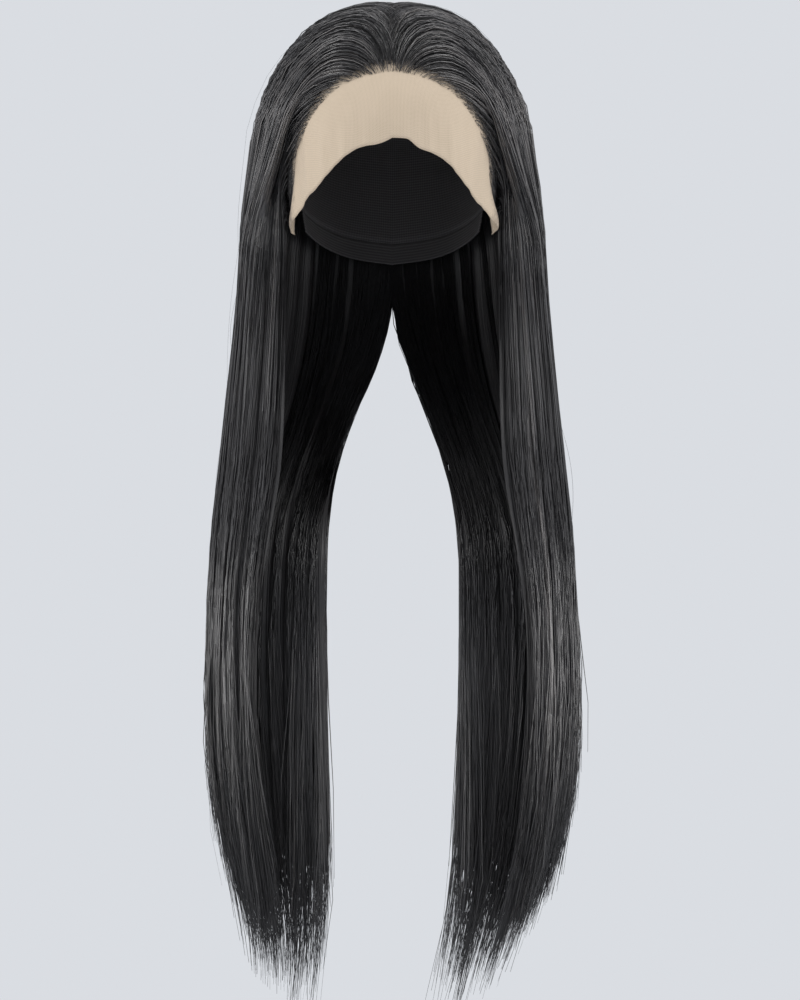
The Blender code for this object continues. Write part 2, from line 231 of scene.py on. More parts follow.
@dataclass(frozen=True)
class HairForm:
    """The form that the hair is combed into. Its falls and tips are those of the wig's own source."""

    head: HeadForm = HeadForm()
    half_width: float = 0.1035
    half_depth: float = 0.1140
    top: float = 0.0150
    low_flare: float = 0.0095
    net: float = 0.0012
    clearance: float = 0.0018
    hairline_depth: float = 0.10
    parting_depth: float = 0.93
    rise_from_hairline: float = 0.42
    rise_from_parting: float = 0.20
    rise_behind_hairline: float = 0.08
    forehead_order: float = 0.36
    crown_order: float = 0.68
    nape_share: float = 0.62
    face_elevation: float = -12.0
    order_step: float = 0.002
    front_bow: float = 1.35
    side_bow: float = 0.5
    lowest: float = -0.727

    # order, azimuth and z of the roots, from in front of the ear to the middle of the forehead
    hairline: tuple[tuple[float, float, float], ...] = (
        (0.000, 77.0, -0.1500),
        (0.012, 79.0, -0.1340),
        (0.024, 79.5, -0.1170),
        (0.040, 75.5, -0.0975),
        (0.062, 65.5, -0.0820),
        (0.088, 53.5, -0.0625),
        (0.126, 39.5, -0.0470),
        (0.205, 23.0, -0.0385),
        (0.290, 10.0, -0.0350),
        (0.360, 0.0, -0.0338),
    )

    # order, azimuth and elevation of the crest that each strand bends towards
    combing: tuple[tuple[float, float, float], ...] = (
        (0.000, 80.5, -26.0),
        (0.030, 81.0, -20.0),
        (0.104, 90.0, -6.0),
        (0.190, 59.0, 30.0),
        (0.277, 46.0, 54.0),
        (0.330, 57.0, 78.0),
        (0.360, 40.0, 84.0),
        (0.440, 75.0, 78.0),
        (0.520, 88.0, 70.0),
        (0.600, 102.0, 60.0),
        (0.680, 124.0, 48.0),
        (0.840, 152.0, 14.0),
        (1.000, 176.0, -38.0),
    )

    # order and the most of the hair's full depth that lies there, beside the face
    edge_depth: tuple[tuple[float, float], ...] = (
        (0.000, 0.20),
        (0.104, 0.28),
        (0.190, 0.40),
        (0.277, 0.62),
        (0.330, 0.85),
        (0.360, 0.97),
        (0.400, 1.00),
        (1.000, 1.00),
    )

    # elevation and how much wider the hair is there than an ellipse
    crown_trim: tuple[tuple[float, float], ...] = (
        (-10.0, 1.0),
        (0.0, 1.005),
        (17.0, 0.975),
        (36.0, 0.972),
        (48.0, 0.995),
        (62.0, 1.05),
        (75.0, 1.10),
        (90.0, 1.10),
    )

    # depth below the origin, then x and y of the front, side, rear and inner points, and thickness
    fall: tuple[tuple[float, ...], ...] = (
        (0.176, 0.0785, -0.008, 0.1130, 0.010, 0.068, 0.092, 0.0006, 0.110, 0.016),
        (0.215, 0.0780, -0.026, 0.1155, 0.002, 0.070, 0.084, 0.0040, 0.102, 0.015),
        (0.255, 0.0778, -0.048, 0.1185, -0.014, 0.076, 0.066, 0.0160, 0.086, 0.014),
        (0.295, 0.0778, -0.070, 0.1220, -0.034, 0.086, 0.038, 0.0340, 0.058, 0.014),
        (0.335, 0.0800, -0.088, 0.1255, -0.054, 0.097, 0.004, 0.0450, 0.014, 0.012),
        (0.380, 0.0870, -0.100, 0.1295, -0.070, 0.103, -0.026, 0.0470, -0.036, 0.010),
        (0.430, 0.0940, -0.105, 0.1320, -0.078, 0.106, -0.046, 0.0468, -0.062, 0.010),
        (0.490, 0.0960, -0.106, 0.1323, -0.082, 0.106, -0.052, 0.0465, -0.069, 0.010),
        (0.550, 0.0940, -0.105, 0.1275, -0.083, 0.102, -0.055, 0.0460, -0.072, 0.009),
        (0.610, 0.0880, -0.102, 0.1150, -0.083, 0.094, -0.059, 0.0455, -0.074, 0.008),
        (0.665, 0.0790, -0.098, 0.0980, -0.083, 0.082, -0.064, 0.0450, -0.075, 0.006),
        (0.720, 0.0720, -0.095, 0.0880, -0.083, 0.075, -0.067, 0.0440, -0.075, 0.004),
    )

    # order and z of the ends of the locks
    tips: tuple[tuple[float, float], ...] = (
        (0.00, -0.680),
        (0.20, -0.662),
        (0.36, -0.648),
        (0.55, -0.662),
        (0.75, -0.690),
        (1.00, -0.706),
    )

    @property
    def fall_top(self) -> float:
        """Level where the head's part of the hair meets the falls."""
        return -self.fall[0][0]

    def fall_rows(self, z: Any) -> np.ndarray:
        """Returns the fall's outline points and thickness at levels."""
        table = SmoothTable(tuple(row[0] for row in self.fall), tuple(row[1:] for row in self.fall))
        return table.at(-np.asarray(z, dtype=float))

    def outline(self, rows: np.ndarray, order: np.ndarray) -> np.ndarray:
        """Places strands on the outline of a fall seen from above.

        Args:
            rows: the outline's values from fall_rows, one row a strand.
            order: each strand's order.

        Returns:
            X and Y of each strand.
        """
        points = rows[..., :8].reshape(*rows.shape[:-1], 4, 2)
        front, side, rear, inner = (points[..., i, :] for i in range(4))
        front_length = np.linalg.norm(side - front, axis=-1)
        side_length = np.linalg.norm(rear - side, axis=-1)
        none = np.zeros_like(front_length)
        slopes = (
            np.stack([front_length * self.front_bow, none], axis=-1),
            np.stack([none, (front_length + side_length) * self.side_bow], axis=-1),
            (inner - side) * self.side_bow,
            inner - rear,
        )
        breaks = (0.0, self.forehead_order, self.crown_order, 1.0)
        corners = (front, side, rear, inner)
        result = np.zeros_like(front)
        for i in range(3):
            share = np.clip((order - breaks[i]) / (breaks[i + 1] - breaks[i]), 0.0, 1.0)[..., None]
            stretch = cubic(corners[i], corners[i + 1], slopes[i], slopes[i + 1], share)
            within = (order > breaks[i]) if i else np.ones_like(order, dtype=bool)
            result = np.where(within[..., None], stretch, result)
        return result

    def fall_wall(self, order: np.ndarray, z: np.ndarray) -> tuple[np.ndarray, np.ndarray, np.ndarray]:
        """Returns the outer points, inward directions and thickness of a fall's wall.

        Args:
            order: each strand's order.
            z: its level.

        Returns:
            Three arrays with a row for each strand.
        """
        rows = self.fall_rows(z)
        here = self.outline(rows, order)
        ahead = self.outline(rows, np.minimum(order + self.order_step, 1.0))
        behind = self.outline(rows, np.maximum(order - self.order_step, 0.0))
        along = unit(ahead - behind)
        level = np.broadcast_to(np.asarray(z, dtype=float), here.shape[:-1])
        point = np.concatenate([here, level[..., None]], axis=-1)
        inward = np.stack([-along[..., 1], along[..., 0], np.zeros(along.shape[:-1])], axis=-1)
        return point, inward, rows[..., 8]

    def root_angles(self, order: np.ndarray) -> tuple[np.ndarray, np.ndarray]:
        """Returns azimuth and elevation of roots: on the hairline, then back along the parting.

        Args:
            order: each strand's order.

        Returns:
            Azimuths and elevations.
        """
        table = SmoothTable.of(self.hairline)
        front = table.at(order)
        first = float(self.head.elevation_of(self.hairline[-1][2]))
        end = 180.0 + self.nape_share * self.head.low_angle
        sweep = first + (end - first) * (order - self.forehead_order) / (1.0 - self.forehead_order)
        before = order <= self.forehead_order
        azimuth = np.where(before, np.maximum(front[..., 0], 0.0), np.where(sweep <= 90.0, 0.0, 180.0))
        behind = np.where(sweep <= 90.0, sweep, 180.0 - sweep)
        return azimuth, np.where(before, self.head.elevation_of(front[..., 1]), behind)

    def strand_angles(
        self, order: np.ndarray, share: np.ndarray, scatter: np.ndarray | None = None
    ) -> tuple[np.ndarray, np.ndarray]:
        """Returns azimuth and elevation of strands on the head.

        Args:
            order: each strand's order.
            share: 0 at the root and 1 at the nape level.
            scatter: how far each root lies towards the face and to its own side, in head radii.

        Returns:
            Azimuths and elevations.
        """
        root = direction(*self.root_angles(order))
        if scatter is not None:
            face = direction(0.0, self.face_elevation)
            towards = unit(face - np.sum(face * root, axis=-1, keepdims=True) * root)
            root = root + scatter[..., :1] * towards + scatter[..., 1:] * np.array([1.0, 0.0, 0.0])
        ring = self.outline(self.fall_rows(np.full(order.shape, self.fall_top)), order)
        leaving = direction(np.degrees(np.arctan2(ring[..., 0], -ring[..., 1])), -self.head.low_angle)
        stations = tuple(row[0] for row in self.combing)
        crests = direction(*(np.array([row[i] for row in self.combing]) for i in (1, 2)))
        crest = unit(SmoothTable(stations, tuple(map(tuple, crests))).at(order))
        share = share[..., None]
        rest = 1.0 - share
        return angles_of(unit(rest * rest * root + 2.0 * share * rest * crest + share * share * leaving))

    def dome(self, azimuth: np.ndarray, elevation: np.ndarray) -> np.ndarray:
        """Returns points on the full outer form of the hair above the nape level.

        Args:
            azimuth: 0 at the forehead, 90 over the right ear.
            elevation: 90 at the crown, 0 at the widest level.

        Returns:
            The points, one row each.
        """
        turn = np.radians(azimuth)
        lean = np.radians(np.maximum(elevation, 0.0))
        drop = -np.minimum(elevation, 0.0) / self.head.low_angle
        width = self.half_width + self.low_flare * drop
        trim = SmoothTable.of(self.crown_trim).at(elevation)[..., 0]
        x = width * trim * np.cos(lean) * np.sin(turn)
        y = -self.half_depth * np.cos(lean) * np.cos(turn)
        height = self.head.crown_height
        z = -height + (height + self.top) * np.sin(lean) - drop * self.head.low_depth
        return np.stack([x, y, z], axis=-1)

    def fullness(self, order: np.ndarray, share: np.ndarray) -> np.ndarray:
        """Returns how much of the hair's full depth places on the head have.

        Args:
            order: each point's order.
            share: 0 at the root and 1 at the nape level.

        Returns:
            The shares, from 0 to 1.
        """
        behind = rise(order, self.forehead_order, self.rise_behind_hairline)
        at_root = self.hairline_depth + (self.parting_depth - self.hairline_depth) * behind
        length = self.rise_from_hairline + (self.rise_from_parting - self.rise_from_hairline) * behind
        full = at_root + (1.0 - at_root) * rise(share, 0.0, length)
        table = SmoothTable.of(self.edge_depth)
        return full * table.at(order)[..., 0]

    def head_wall(
        self, order: np.ndarray, share: np.ndarray, scatter: np.ndarray | None
    ) -> tuple[np.ndarray, np.ndarray]:
        """Returns the inner and outer points of the hair on the head.

        Args:
            order: each point's order.
            share: 0 at the root and 1 at the nape level.
            scatter: where each root lies beside its place, as strand_angles takes it.

        Returns:
            The points, one row each.
        """
        azimuth, elevation = self.strand_angles(order, share, scatter)
        inner = self.head.point(azimuth, elevation, self.net + self.clearance)
        full = self.dome(azimuth, elevation)
        outer = inner + (full - inner) * self.fullness(order, share)[..., None]
        hang = smooth_step(-elevation / self.head.low_angle)[..., None]
        place, inward, thickness = self.fall_wall(order, np.full(order.shape, self.fall_top))
        hung_outer = np.concatenate([place[..., :2], outer[..., 2:]], axis=-1)
        hung_inner = np.concatenate([place[..., :2], inner[..., 2:]], axis=-1)
        hung_inner = hung_inner + inward * thickness[..., None]
        return inner + (hung_inner - inner) * hang, outer + (hung_outer - outer) * hang

    def tip_level(self, order: np.ndarray) -> np.ndarray:
        """Returns the level where strands of an order mostly end."""
        return SmoothTable.of(self.tips).at(order)[..., 0]

    def walls(
        self,
        order: np.ndarray,
        run: np.ndarray,
        end: np.ndarray,
        head_share: float,
        scatter: np.ndarray | None = None,
    ) -> tuple[np.ndarray, np.ndarray]:
        """Places the hair's two surfaces.

        Args:
            order: order of each point.
            run: 0 at the root and 1 at the tip.
            end: level of the tip.
            head_share: part of the run that lies on the head.
            scatter: where each root lies beside its place, as strand_angles takes it.

        Returns:
            The inner and the outer points.
        """
        share = np.minimum(run / head_share, 1.0)
        inner, outer = self.head_wall(order, share, scatter)
        down = np.clip((run - head_share) / (1.0 - head_share), 0.0, 1.0)
        place, inward, thickness = self.fall_wall(order, self.fall_top + (end - self.fall_top) * down)
        on_head = (run <= head_share)[..., None]
        outer = np.where(on_head, outer, place)
        inner = np.where(on_head, inner, place + inward * thickness[..., None])
        return inner, outer


class Wired:
    """A shader socket that takes part in Python arithmetic on values."""

    def __init__(self, book: "NodeBook", socket: bpy.types.NodeSocket) -> None:
        """Keeps the socket and the material that it belongs to."""
        self.book = book
        self.socket = socket

    def _math(self, operation: str, first: Any, second: Any) -> "Wired":
        """Adds one Math node and returns its result."""
        return self.book.add("ShaderNodeMath", {"operation": operation}, {0: first, 1: second})

    def __add__(self, other: Any) -> "Wired":
        """Returns self + other."""
        return self._math("ADD", self, other)

    __radd__ = __add__

    def __sub__(self, other: Any) -> "Wired":
        """Returns self - other."""
        return self._math("SUBTRACT", self, other)

    def __rsub__(self, other: Any) -> "Wired":
        """Returns other - self."""
        return self._math("SUBTRACT", other, self)

    def __mul__(self, other: Any) -> "Wired":
        """Returns self * other."""
        return self._math("MULTIPLY", self, other)

    __rmul__ = __mul__

    def __truediv__(self, other: Any) -> "Wired":
        """Returns self / other."""
        return self._math("DIVIDE", self, other)

    def __rtruediv__(self, other: Any) -> "Wired":
        """Returns other / self."""
        return self._math("DIVIDE", other, self)

    def __pow__(self, other: Any) -> "Wired":
        """Returns self raised to other."""
        return self._math("POWER", self, other)

    def __rpow__(self, other: Any) -> "Wired":
        """Returns other raised to self."""
        return self._math("POWER", other, self)

    def cosine(self) -> "Wired":
        """Returns the cosine of self, in radians."""
        return self._math("COSINE", self, 0.0)

    def clamped(self) -> "Wired":
        """Returns self held between 0 and 1."""
        return self.book.add("ShaderNodeClamp", {}, {"Value": self})


class NodeBook:
    """Writes one material's nodes."""

    def __init__(self, name: str) -> None:
        """Starts a material with a Principled shader.

        Args:
            name: name of the material.
        """
        self.material = bpy.data.materials.new(name)
        self.material.use_nodes = True
        self.tree = self.material.node_tree
        self.shader = self.tree.nodes["Principled BSDF"]

    def add(self, kind: str, settings: dict[str, Any], inputs: dict[Any, Any], output: Any = 0) -> Wired:
        """Adds a node.

        Args:
            kind: the node's type.
            settings: attributes of the node, and a ramp's stops under the name stops.
            inputs: values or links by the socket's name or number.
            output: name or number of the output that is wanted.

        Returns:
            That output.
        """
        node = self.tree.nodes.new(kind)
        for name, value in settings.items():
            if name == "stops":
                elements = node.color_ramp.elements
                for index, (place, colour) in enumerate(value):
                    stop = elements[index] if index < 2 else elements.new(place)
                    stop.position = place
                    stop.color = (*colour, 1.0)
            else:
                setattr(node, name, value)
        for name, value in inputs.items():
            self.feed(node.inputs[name], value)
        return Wired(self, node.outputs[output])

    def feed(self, socket: bpy.types.NodeSocket, value: Any) -> None:
        """Links or sets one socket.

        Args:
            socket: the socket.
            value: a link, a colour or a number.
        """
        if isinstance(value, Wired):
            self.tree.links.new(value.socket, socket)
        elif isinstance(value, (tuple, list)) and len(value) == 3 and socket.type == "RGBA":
            socket.default_value = (*value, 1.0)
        else:
            socket.default_value = value

    def surface(self, **inputs: Any) -> None:
        """Sets the Principled shader's sockets, with _ in place of a space in their names."""
        for name, value in inputs.items():
            self.feed(self.shader.inputs[name.replace("_", " ")], value)

    def attribute(self, name: str) -> Wired:
        """Reads one of the mesh's own values."""
        return self.add("ShaderNodeAttribute", {"attribute_name": name}, {}, "Fac")

    def map_values(self) -> tuple[Wired, Wired]:
        """Reads the piece's own map, in metres.

        Returns:
            The map's values across and along.
        """
        place = self.add("ShaderNodeUVMap", {"uv_map": "metres"}, {})
        split = self.tree.nodes.new("ShaderNodeSeparateXYZ")
        self.feed(split.inputs[0], place)
        return Wired(self, split.outputs[0]), Wired(self, split.outputs[1])

    def grain(self, scale: tuple[float, float], detail: float) -> Wired:
        """Adds a grain that lies along the piece's own map.

        Args:
            scale: how many grains there are in a metre, across and along.
            detail: how many finer grains lie in each.

        Returns:
            The grain's value.
        """
        across, along = self.map_values()
        place = self.add("ShaderNodeCombineXYZ", {}, {0: across * scale[0], 1: along * scale[1]})
        inputs = {"Vector": place, "Scale": 1.0, "Detail": detail}
        return self.add("ShaderNodeTexNoise", {}, inputs)

    def colours(self, factor: Any, first: Any, second: Any) -> Wired:
        """Mixes two colours.

        Args:
            factor: 0 for the first colour and 1 for the second.
            first: a colour or a link.
            second: a colour or a link.

        Returns:
            The mixed colour.
        """
        node = self.tree.nodes.new("ShaderNodeMix")
        node.data_type = "RGBA"
        for index, value in ((0, factor), (6, first), (7, second)):
            self.feed(node.inputs[index], value)
        return Wired(self, node.outputs[2])

    def bump(self, height: Any, distance: float, strength: float) -> Wired:
        """Turns a height in the surface into a bent normal."""
        inputs = {"Height": height, "Distance": distance, "Strength": strength}
        return self.add("ShaderNodeBump", {}, inputs)


@dataclass(frozen=True)
class HairFinish:
    """Brown-black synthetic fibre with a satin sheen that spreads across the strands."""

    dark: tuple[float, float, float] = (0.0050, 0.0047, 0.0054)
    middle: tuple[float, float, float] = (0.0200, 0.0183, 0.0196)
    light: tuple[float, float, float] = (0.0900, 0.0800, 0.0760)
    middle_shade: float = 0.55
    roughness: float = 0.36
    dullness: float = 0.12
    gloss_rise: float = 2.3
    gloss_start: float = 0.30
    gloss_roughness: float = 0.24
    gloss_index: float = 1.75
    fibre_index: float = 1.34
    anisotropy: float = 0.5
    under_roughness: float = 0.42
    fibre_grain: tuple[float, float] = (900.0, 9.0)
    lock_grain: tuple[float, float] = (150.0, 3.0)
    fibre_contrast: float = 0.7
    lock_contrast: float = 0.6
    grain_start: float = 0.25
    grain_depth: float = 0.0012
    grain_strength: float = 0.9

    def strands(self) -> bpy.types.Material:
        """Returns the finish of the loose strands, which differ by their shade value.

        Returns:
            The material.
        """
        book = NodeBook("hair_strands")
        shade = book.attribute("shade")
        stops = ((0.0, self.dark), (1.0, self.light), (self.middle_shade, self.middle))
        tone = book.add("ShaderNodeValToRGB", {"stops": stops}, {0: shade})
        book.surface(
            Base_Color=tone,
            Roughness=self.roughness + self.dullness * (1.0 - shade),
            Coat_Weight=(shade * self.gloss_rise - self.gloss_start).clamped(),
            Coat_Roughness=self.gloss_roughness,
            Coat_IOR=self.gloss_index,
            Anisotropic=self.anisotropy,
            IOR=self.fibre_index,
        )
        return book.material

    def under_layer(self) -> bpy.types.Material:
        """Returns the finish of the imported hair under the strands, with fibres along its map.

        Returns:
            The material.
        """
        book = NodeBook("hair_under_layer")
        fibres = book.grain(self.fibre_grain, detail=3.0)
        locks = book.grain(self.lock_grain, detail=2.0)
        tone = fibres * self.fibre_contrast + locks * self.lock_contrast - self.grain_start
        book.surface(
            Base_Color=book.colours(tone.clamped(), self.dark, self.middle),
            Roughness=self.under_roughness,
            Anisotropic=self.anisotropy,
            Normal=book.bump(fibres + locks, self.grain_depth, self.grain_strength),
        )
        return book.material


@dataclass(frozen=True)
class LaceFinish:
    """Sheer skin-coloured tulle, a fine net of six-sided holes."""

    thread: tuple[float, float, float] = (0.610, 0.495, 0.370)
    shadow: tuple[float, float, float] = (0.495, 0.398, 0.288)
    knot: tuple[float, float, float] = (0.065, 0.050, 0.042)
    pitch: float = 0.0013
    sheerness: float = 0.12
    roughness: float = 0.75
    sheen: float = 0.15
    cloud_scale: float = 45.0
    knot_grain: tuple[float, float] = (1500.0, 260.0)
    knot_contrast: float = 1.5
    knot_start: float = 0.35
    knot_cover: float = 0.85
    hole_contrast: float = 0.8
    hole_base: float = 0.2
    thread_depth: float = 0.00015
    thread_strength: float = 0.5

    def material(self) -> bpy.types.Material:
        """Returns the finish, whose holes follow the lace's own map.

        Returns:
            The material.
        """
        book = NodeBook("lace_tulle")
        across, along = book.map_values()
        wave = 2.0 * math.pi / (self.pitch * math.sqrt(3.0) / 2.0)
        lean = math.sqrt(3.0) / 2.0
        net = (
            (across * wave).cosine()
            + (across * (-0.5 * wave) + along * (lean * wave)).cosine()
            + (across * (-0.5 * wave) + along * (-lean * wave)).cosine()
        )
        hole = (net * self.hole_contrast + self.hole_base).clamped()
        object_place = book.add("ShaderNodeTexCoord", {}, {}, "Object")
        cloud_inputs = {"Vector": object_place, "Scale": self.cloud_scale, "Detail": 2.0}
        cloud = book.add("ShaderNodeTexNoise", {}, cloud_inputs)
        grain = book.grain(self.knot_grain, detail=1.0)
        tied = (grain - 0.5) * self.knot_contrast + book.attribute("knots") * self.knot_contrast
        knots = (tied - self.knot_start).clamped() * self.knot_cover
        tulle = book.colours((hole * 0.5 + cloud * 0.5).clamped(), self.thread, self.shadow)
        book.surface(
            Base_Color=book.colours(knots, tulle, self.knot),
            Roughness=self.roughness,
            Sheen_Weight=self.sheen,
            Alpha=1.0 - hole * self.sheerness,
            Normal=book.bump(1.0 - hole, self.thread_depth, self.thread_strength),
        )
        return book.material


@dataclass(frozen=True)
class NetFinish:
    """Black stretch net, or the tighter rib of the elastic."""

    name: str = "cap_net"
    colour: tuple[float, float, float] = (0.014, 0.013, 0.0135)
    raised: tuple[float, float, float] = (0.070, 0.066, 0.068)
    across: float = 0.0016
    along: float = 0.0016
    roughness: float = 0.85
    thread_depth: float = 0.0003
    thread_strength: float = 0.8

    def material(self) -> bpy.types.Material:
        """Returns the finish, whose threads follow the piece's own map.

        Returns:
            The material.
        """
        book = NodeBook(self.name)
        u, v = book.map_values()
        turn = 2.0 * math.pi
        weave = (u * (turn / self.across)).cosine() * 0.25
        weave = weave + (v * (turn / self.along)).cosine() * 0.25 + 0.5
        book.surface(
            Base_Color=book.colours(weave.clamped(), self.colour, self.raised),
            Roughness=self.roughness,
            Normal=book.bump(weave, self.thread_depth, self.thread_strength),
        )
        return book.material


def link(
    mesh: bpy.types.Mesh, nodes: Sequence[str], material: bpy.types.Material
) -> bpy.types.Object:
    """Puts a finished mesh into the scene as a piece of the wig.

    Args:
        mesh: the mesh, with its place in it.
        nodes: the frame's nodes that it stands for.
        material: its material.

    Returns:
        The piece.
    """
    piece = bpy.data.objects.new(mesh.name, mesh)
    bpy.context.scene.collection.objects.link(piece)
    mesh.materials.append(material)
    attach(piece, "root")
    if nodes:
        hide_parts(*nodes)
    mesh.calc_loop_triangles()
    LOG.info("%s: %d triangles", mesh.name, len(mesh.loop_triangles))
    return piece


def grid_place(vertex: bmesh.types.BMVert) -> tuple[float, float]:
    """Returns a vertex's places across and down a flat grid, from 0 to 1."""
    return vertex.co.x + 0.5, 0.5 - vertex.co.y


def map_metres(shape: bmesh.types.BMesh, size: tuple[float, float]) -> None:
    """Gives a flat grid its own map in metres, before the grid is bent.

    Args:
        shape: the grid.
        size: width and height of the map.
    """
    metres = shape.loops.layers.uv.new("metres")
    for face in shape.faces:
        for loop in face.loops:
            across, down = grid_place(loop.vert)
            loop[metres].uv = (across * size[0], down * size[1])


def move_to(vertices: Sequence[bmesh.types.BMVert], points: np.ndarray) -> None:
    """Moves vertices to points."""
    for vertex, point in zip(vertices, points):
        vertex.co = Vector(point)


def closed_mesh(shape: bmesh.types.BMesh, name: str) -> bpy.types.Mesh:
    """Turns a shape into a smooth mesh with its faces outward.

    Args:
        shape: the shape, which is used up.
        name: name of the mesh.

    Returns:
        The mesh.
    """
    bmesh.ops.recalc_face_normals(shape, faces=shape.faces[:])
    mesh = bpy.data.meshes.new(name)
    shape.to_mesh(mesh)
    shape.free()
    mesh.shade_smooth()
    return mesh


def grid_wall(
    name: str,
    faces: tuple[int, int],
    place: Callable[[np.ndarray, np.ndarray, bool], np.ndarray],
    map_size: tuple[float, float],
) -> bpy.types.Mesh:
    """Models a closed wall from a grid that is extruded once.

    Args:
        name: name of the mesh.
        faces: numbers of faces across and down.
        place: gives the points from their places across and down, on the inner or outer side.
        map_size: width and height of the wall's own map, in metres.

    Returns:
        The mesh, with its map.
    """
    shape = bmesh.new()
    bmesh.ops.create_grid(shape, x_segments=faces[0], y_segments=faces[1], size=0.5)
    inner = list(shape.verts)
    made = bmesh.ops.extrude_face_region(shape, geom=shape.faces[:])
    outer = [part for part in made["geom"] if isinstance(part, bmesh.types.BMVert)]
    map_metres(shape, map_size)
    for group, is_outer in ((inner, False), (outer, True)):
        flat = np.array([grid_place(vertex) for vertex in group])
        move_to(group, place(flat[:, 0], flat[:, 1], is_outer))
    return closed_mesh(shape, name)


@dataclass
class Strands:
    """Many tapering strands, each a closed tube of three sides."""

    paths: np.ndarray
    radii: np.ndarray
    shades: np.ndarray
    sides: int = 3
    flatness: float = 0.75
    head_middle: float = -0.105

    def frames(self) -> tuple[np.ndarray, np.ndarray]:
        """Returns the directions across each strand: along the hair's surface and out of it.

        Returns:
            Two arrays of unit vectors, one for each point.
        """
        tangent = unit(np.gradient(self.paths, axis=1))
        centre = np.zeros_like(self.paths)
        centre[..., 2] = np.minimum(self.paths[..., 2], self.head_middle)
        beside = unit(np.cross(tangent, self.paths - centre))
        return beside, np.cross(beside, tangent)

    def points(self) -> np.ndarray:
        """Returns the corners of every ring of every strand.

        Returns:
            The corners, by strand, ring and side.
        """
        beside, out = self.frames()
        turns = 2.0 * math.pi * np.arange(self.sides) / self.sides + math.pi / 2.0
        ring = (
            np.cos(turns)[None, None, :, None] * beside[:, :, None, :]
            + self.flatness * np.sin(turns)[None, None, :, None] * out[:, :, None, :]
        )
        return self.paths[:, :, None, :] + ring * self.radii[:, :, None, None]

    def faces(self) -> tuple[np.ndarray, np.ndarray]:
        """Returns the corners' numbers of all faces, and how many each face has.

        Returns:
            The corners in one row, and the sizes in another.
        """
        count, rings, _ = self.paths.shape
        sides = self.sides
        first = (np.arange(count) * rings * sides)[:, None, None]
        corner = first + (np.arange(rings - 1) * sides)[None, :, None]
        here = np.arange(sides)[None, None, :]
        following = (here + 1) % sides
        ring = (here, following, sides + following, sides + here)
        quads = np.stack([corner + part for part in ring], axis=-1).reshape(-1, 4)
        root = first[:, :, 0]
        starts = (root + np.arange(sides)[None, ::-1]).reshape(-1, sides)
        ends = (root + (rings - 1) * sides + np.arange(sides)[None, :]).reshape(-1, sides)
        corners = np.concatenate([quads.ravel(), starts.ravel(), ends.ravel()])
        sizes = np.concatenate([np.full(len(quads), 4), np.full(2 * count, sides)])
        return corners.astype(np.int32), sizes.astype(np.int32)

    def mesh(self, name: str) -> bpy.types.Mesh:
        """Joins the strands into one mesh.

        Args:
            name: name of the mesh.

        Returns:
            The mesh, with a shade value for each point.
        """
        points = self.points()
        corners, sizes = self.faces()
        starts = np.concatenate([[0], np.cumsum(sizes)[:-1]])
        mesh = bpy.data.meshes.new(name)
        mesh.vertices.add(points.size // 3)
        mesh.vertices.foreach_set("co", points.astype(np.float32).ravel())
        mesh.loops.add(len(corners))
        mesh.loops.foreach_set("vertex_index", corners)
        mesh.polygons.add(len(sizes))
        mesh.polygons.foreach_set("loop_start", starts.astype(np.int32))
        mesh.polygons.foreach_set("loop_total", sizes)
        mesh.update(calc_edges=True)
        mesh.shade_smooth()
        shade = mesh.attributes.new("shade", "FLOAT", "POINT")
        values = np.repeat(np.clip(self.shades, 0.0, 1.0), self.sides, axis=1)
        shade.data.foreach_set("value", values.astype(np.float32).ravel())
        return mesh


@dataclass
class Lot:
    """Random values for locks and for the strands in them."""

    seed: int
    locks: int
    strands_a_lock: int

    def __post_init__(self) -> None:
        """Starts the row of random values and numbers the strands' locks."""
        self.rng = np.random.default_rng(self.seed)
        self.count = self.locks * self.strands_a_lock
        self.lock = np.repeat(np.arange(self.locks), self.strands_a_lock)

    def per_lock(self, low: float, high: float) -> np.ndarray:
        """Returns a column with a value for each strand, alike within a lock."""
        return self.rng.uniform(low, high, self.locks)[self.lock, None]

    def per_strand(self, low: float, high: float) -> np.ndarray:
        """Returns a column with a value for each strand."""
        return self.rng.uniform(low, high, (self.count, 1))


@dataclass
class Flow:
    """Where the strands of a section lie, with a row for each strand.

    start is the run at the strand's root, and middle the middle order of its lock. For each of its
    points, run and order are the point's own, in_fall is 0 on the head and 1 in the fall, and sway
    is how far it wanders in depth.
    """

    start: np.ndarray
    run: np.ndarray
    in_fall: np.ndarray
    middle: np.ndarray
    order: np.ndarray
    sway: np.ndarray


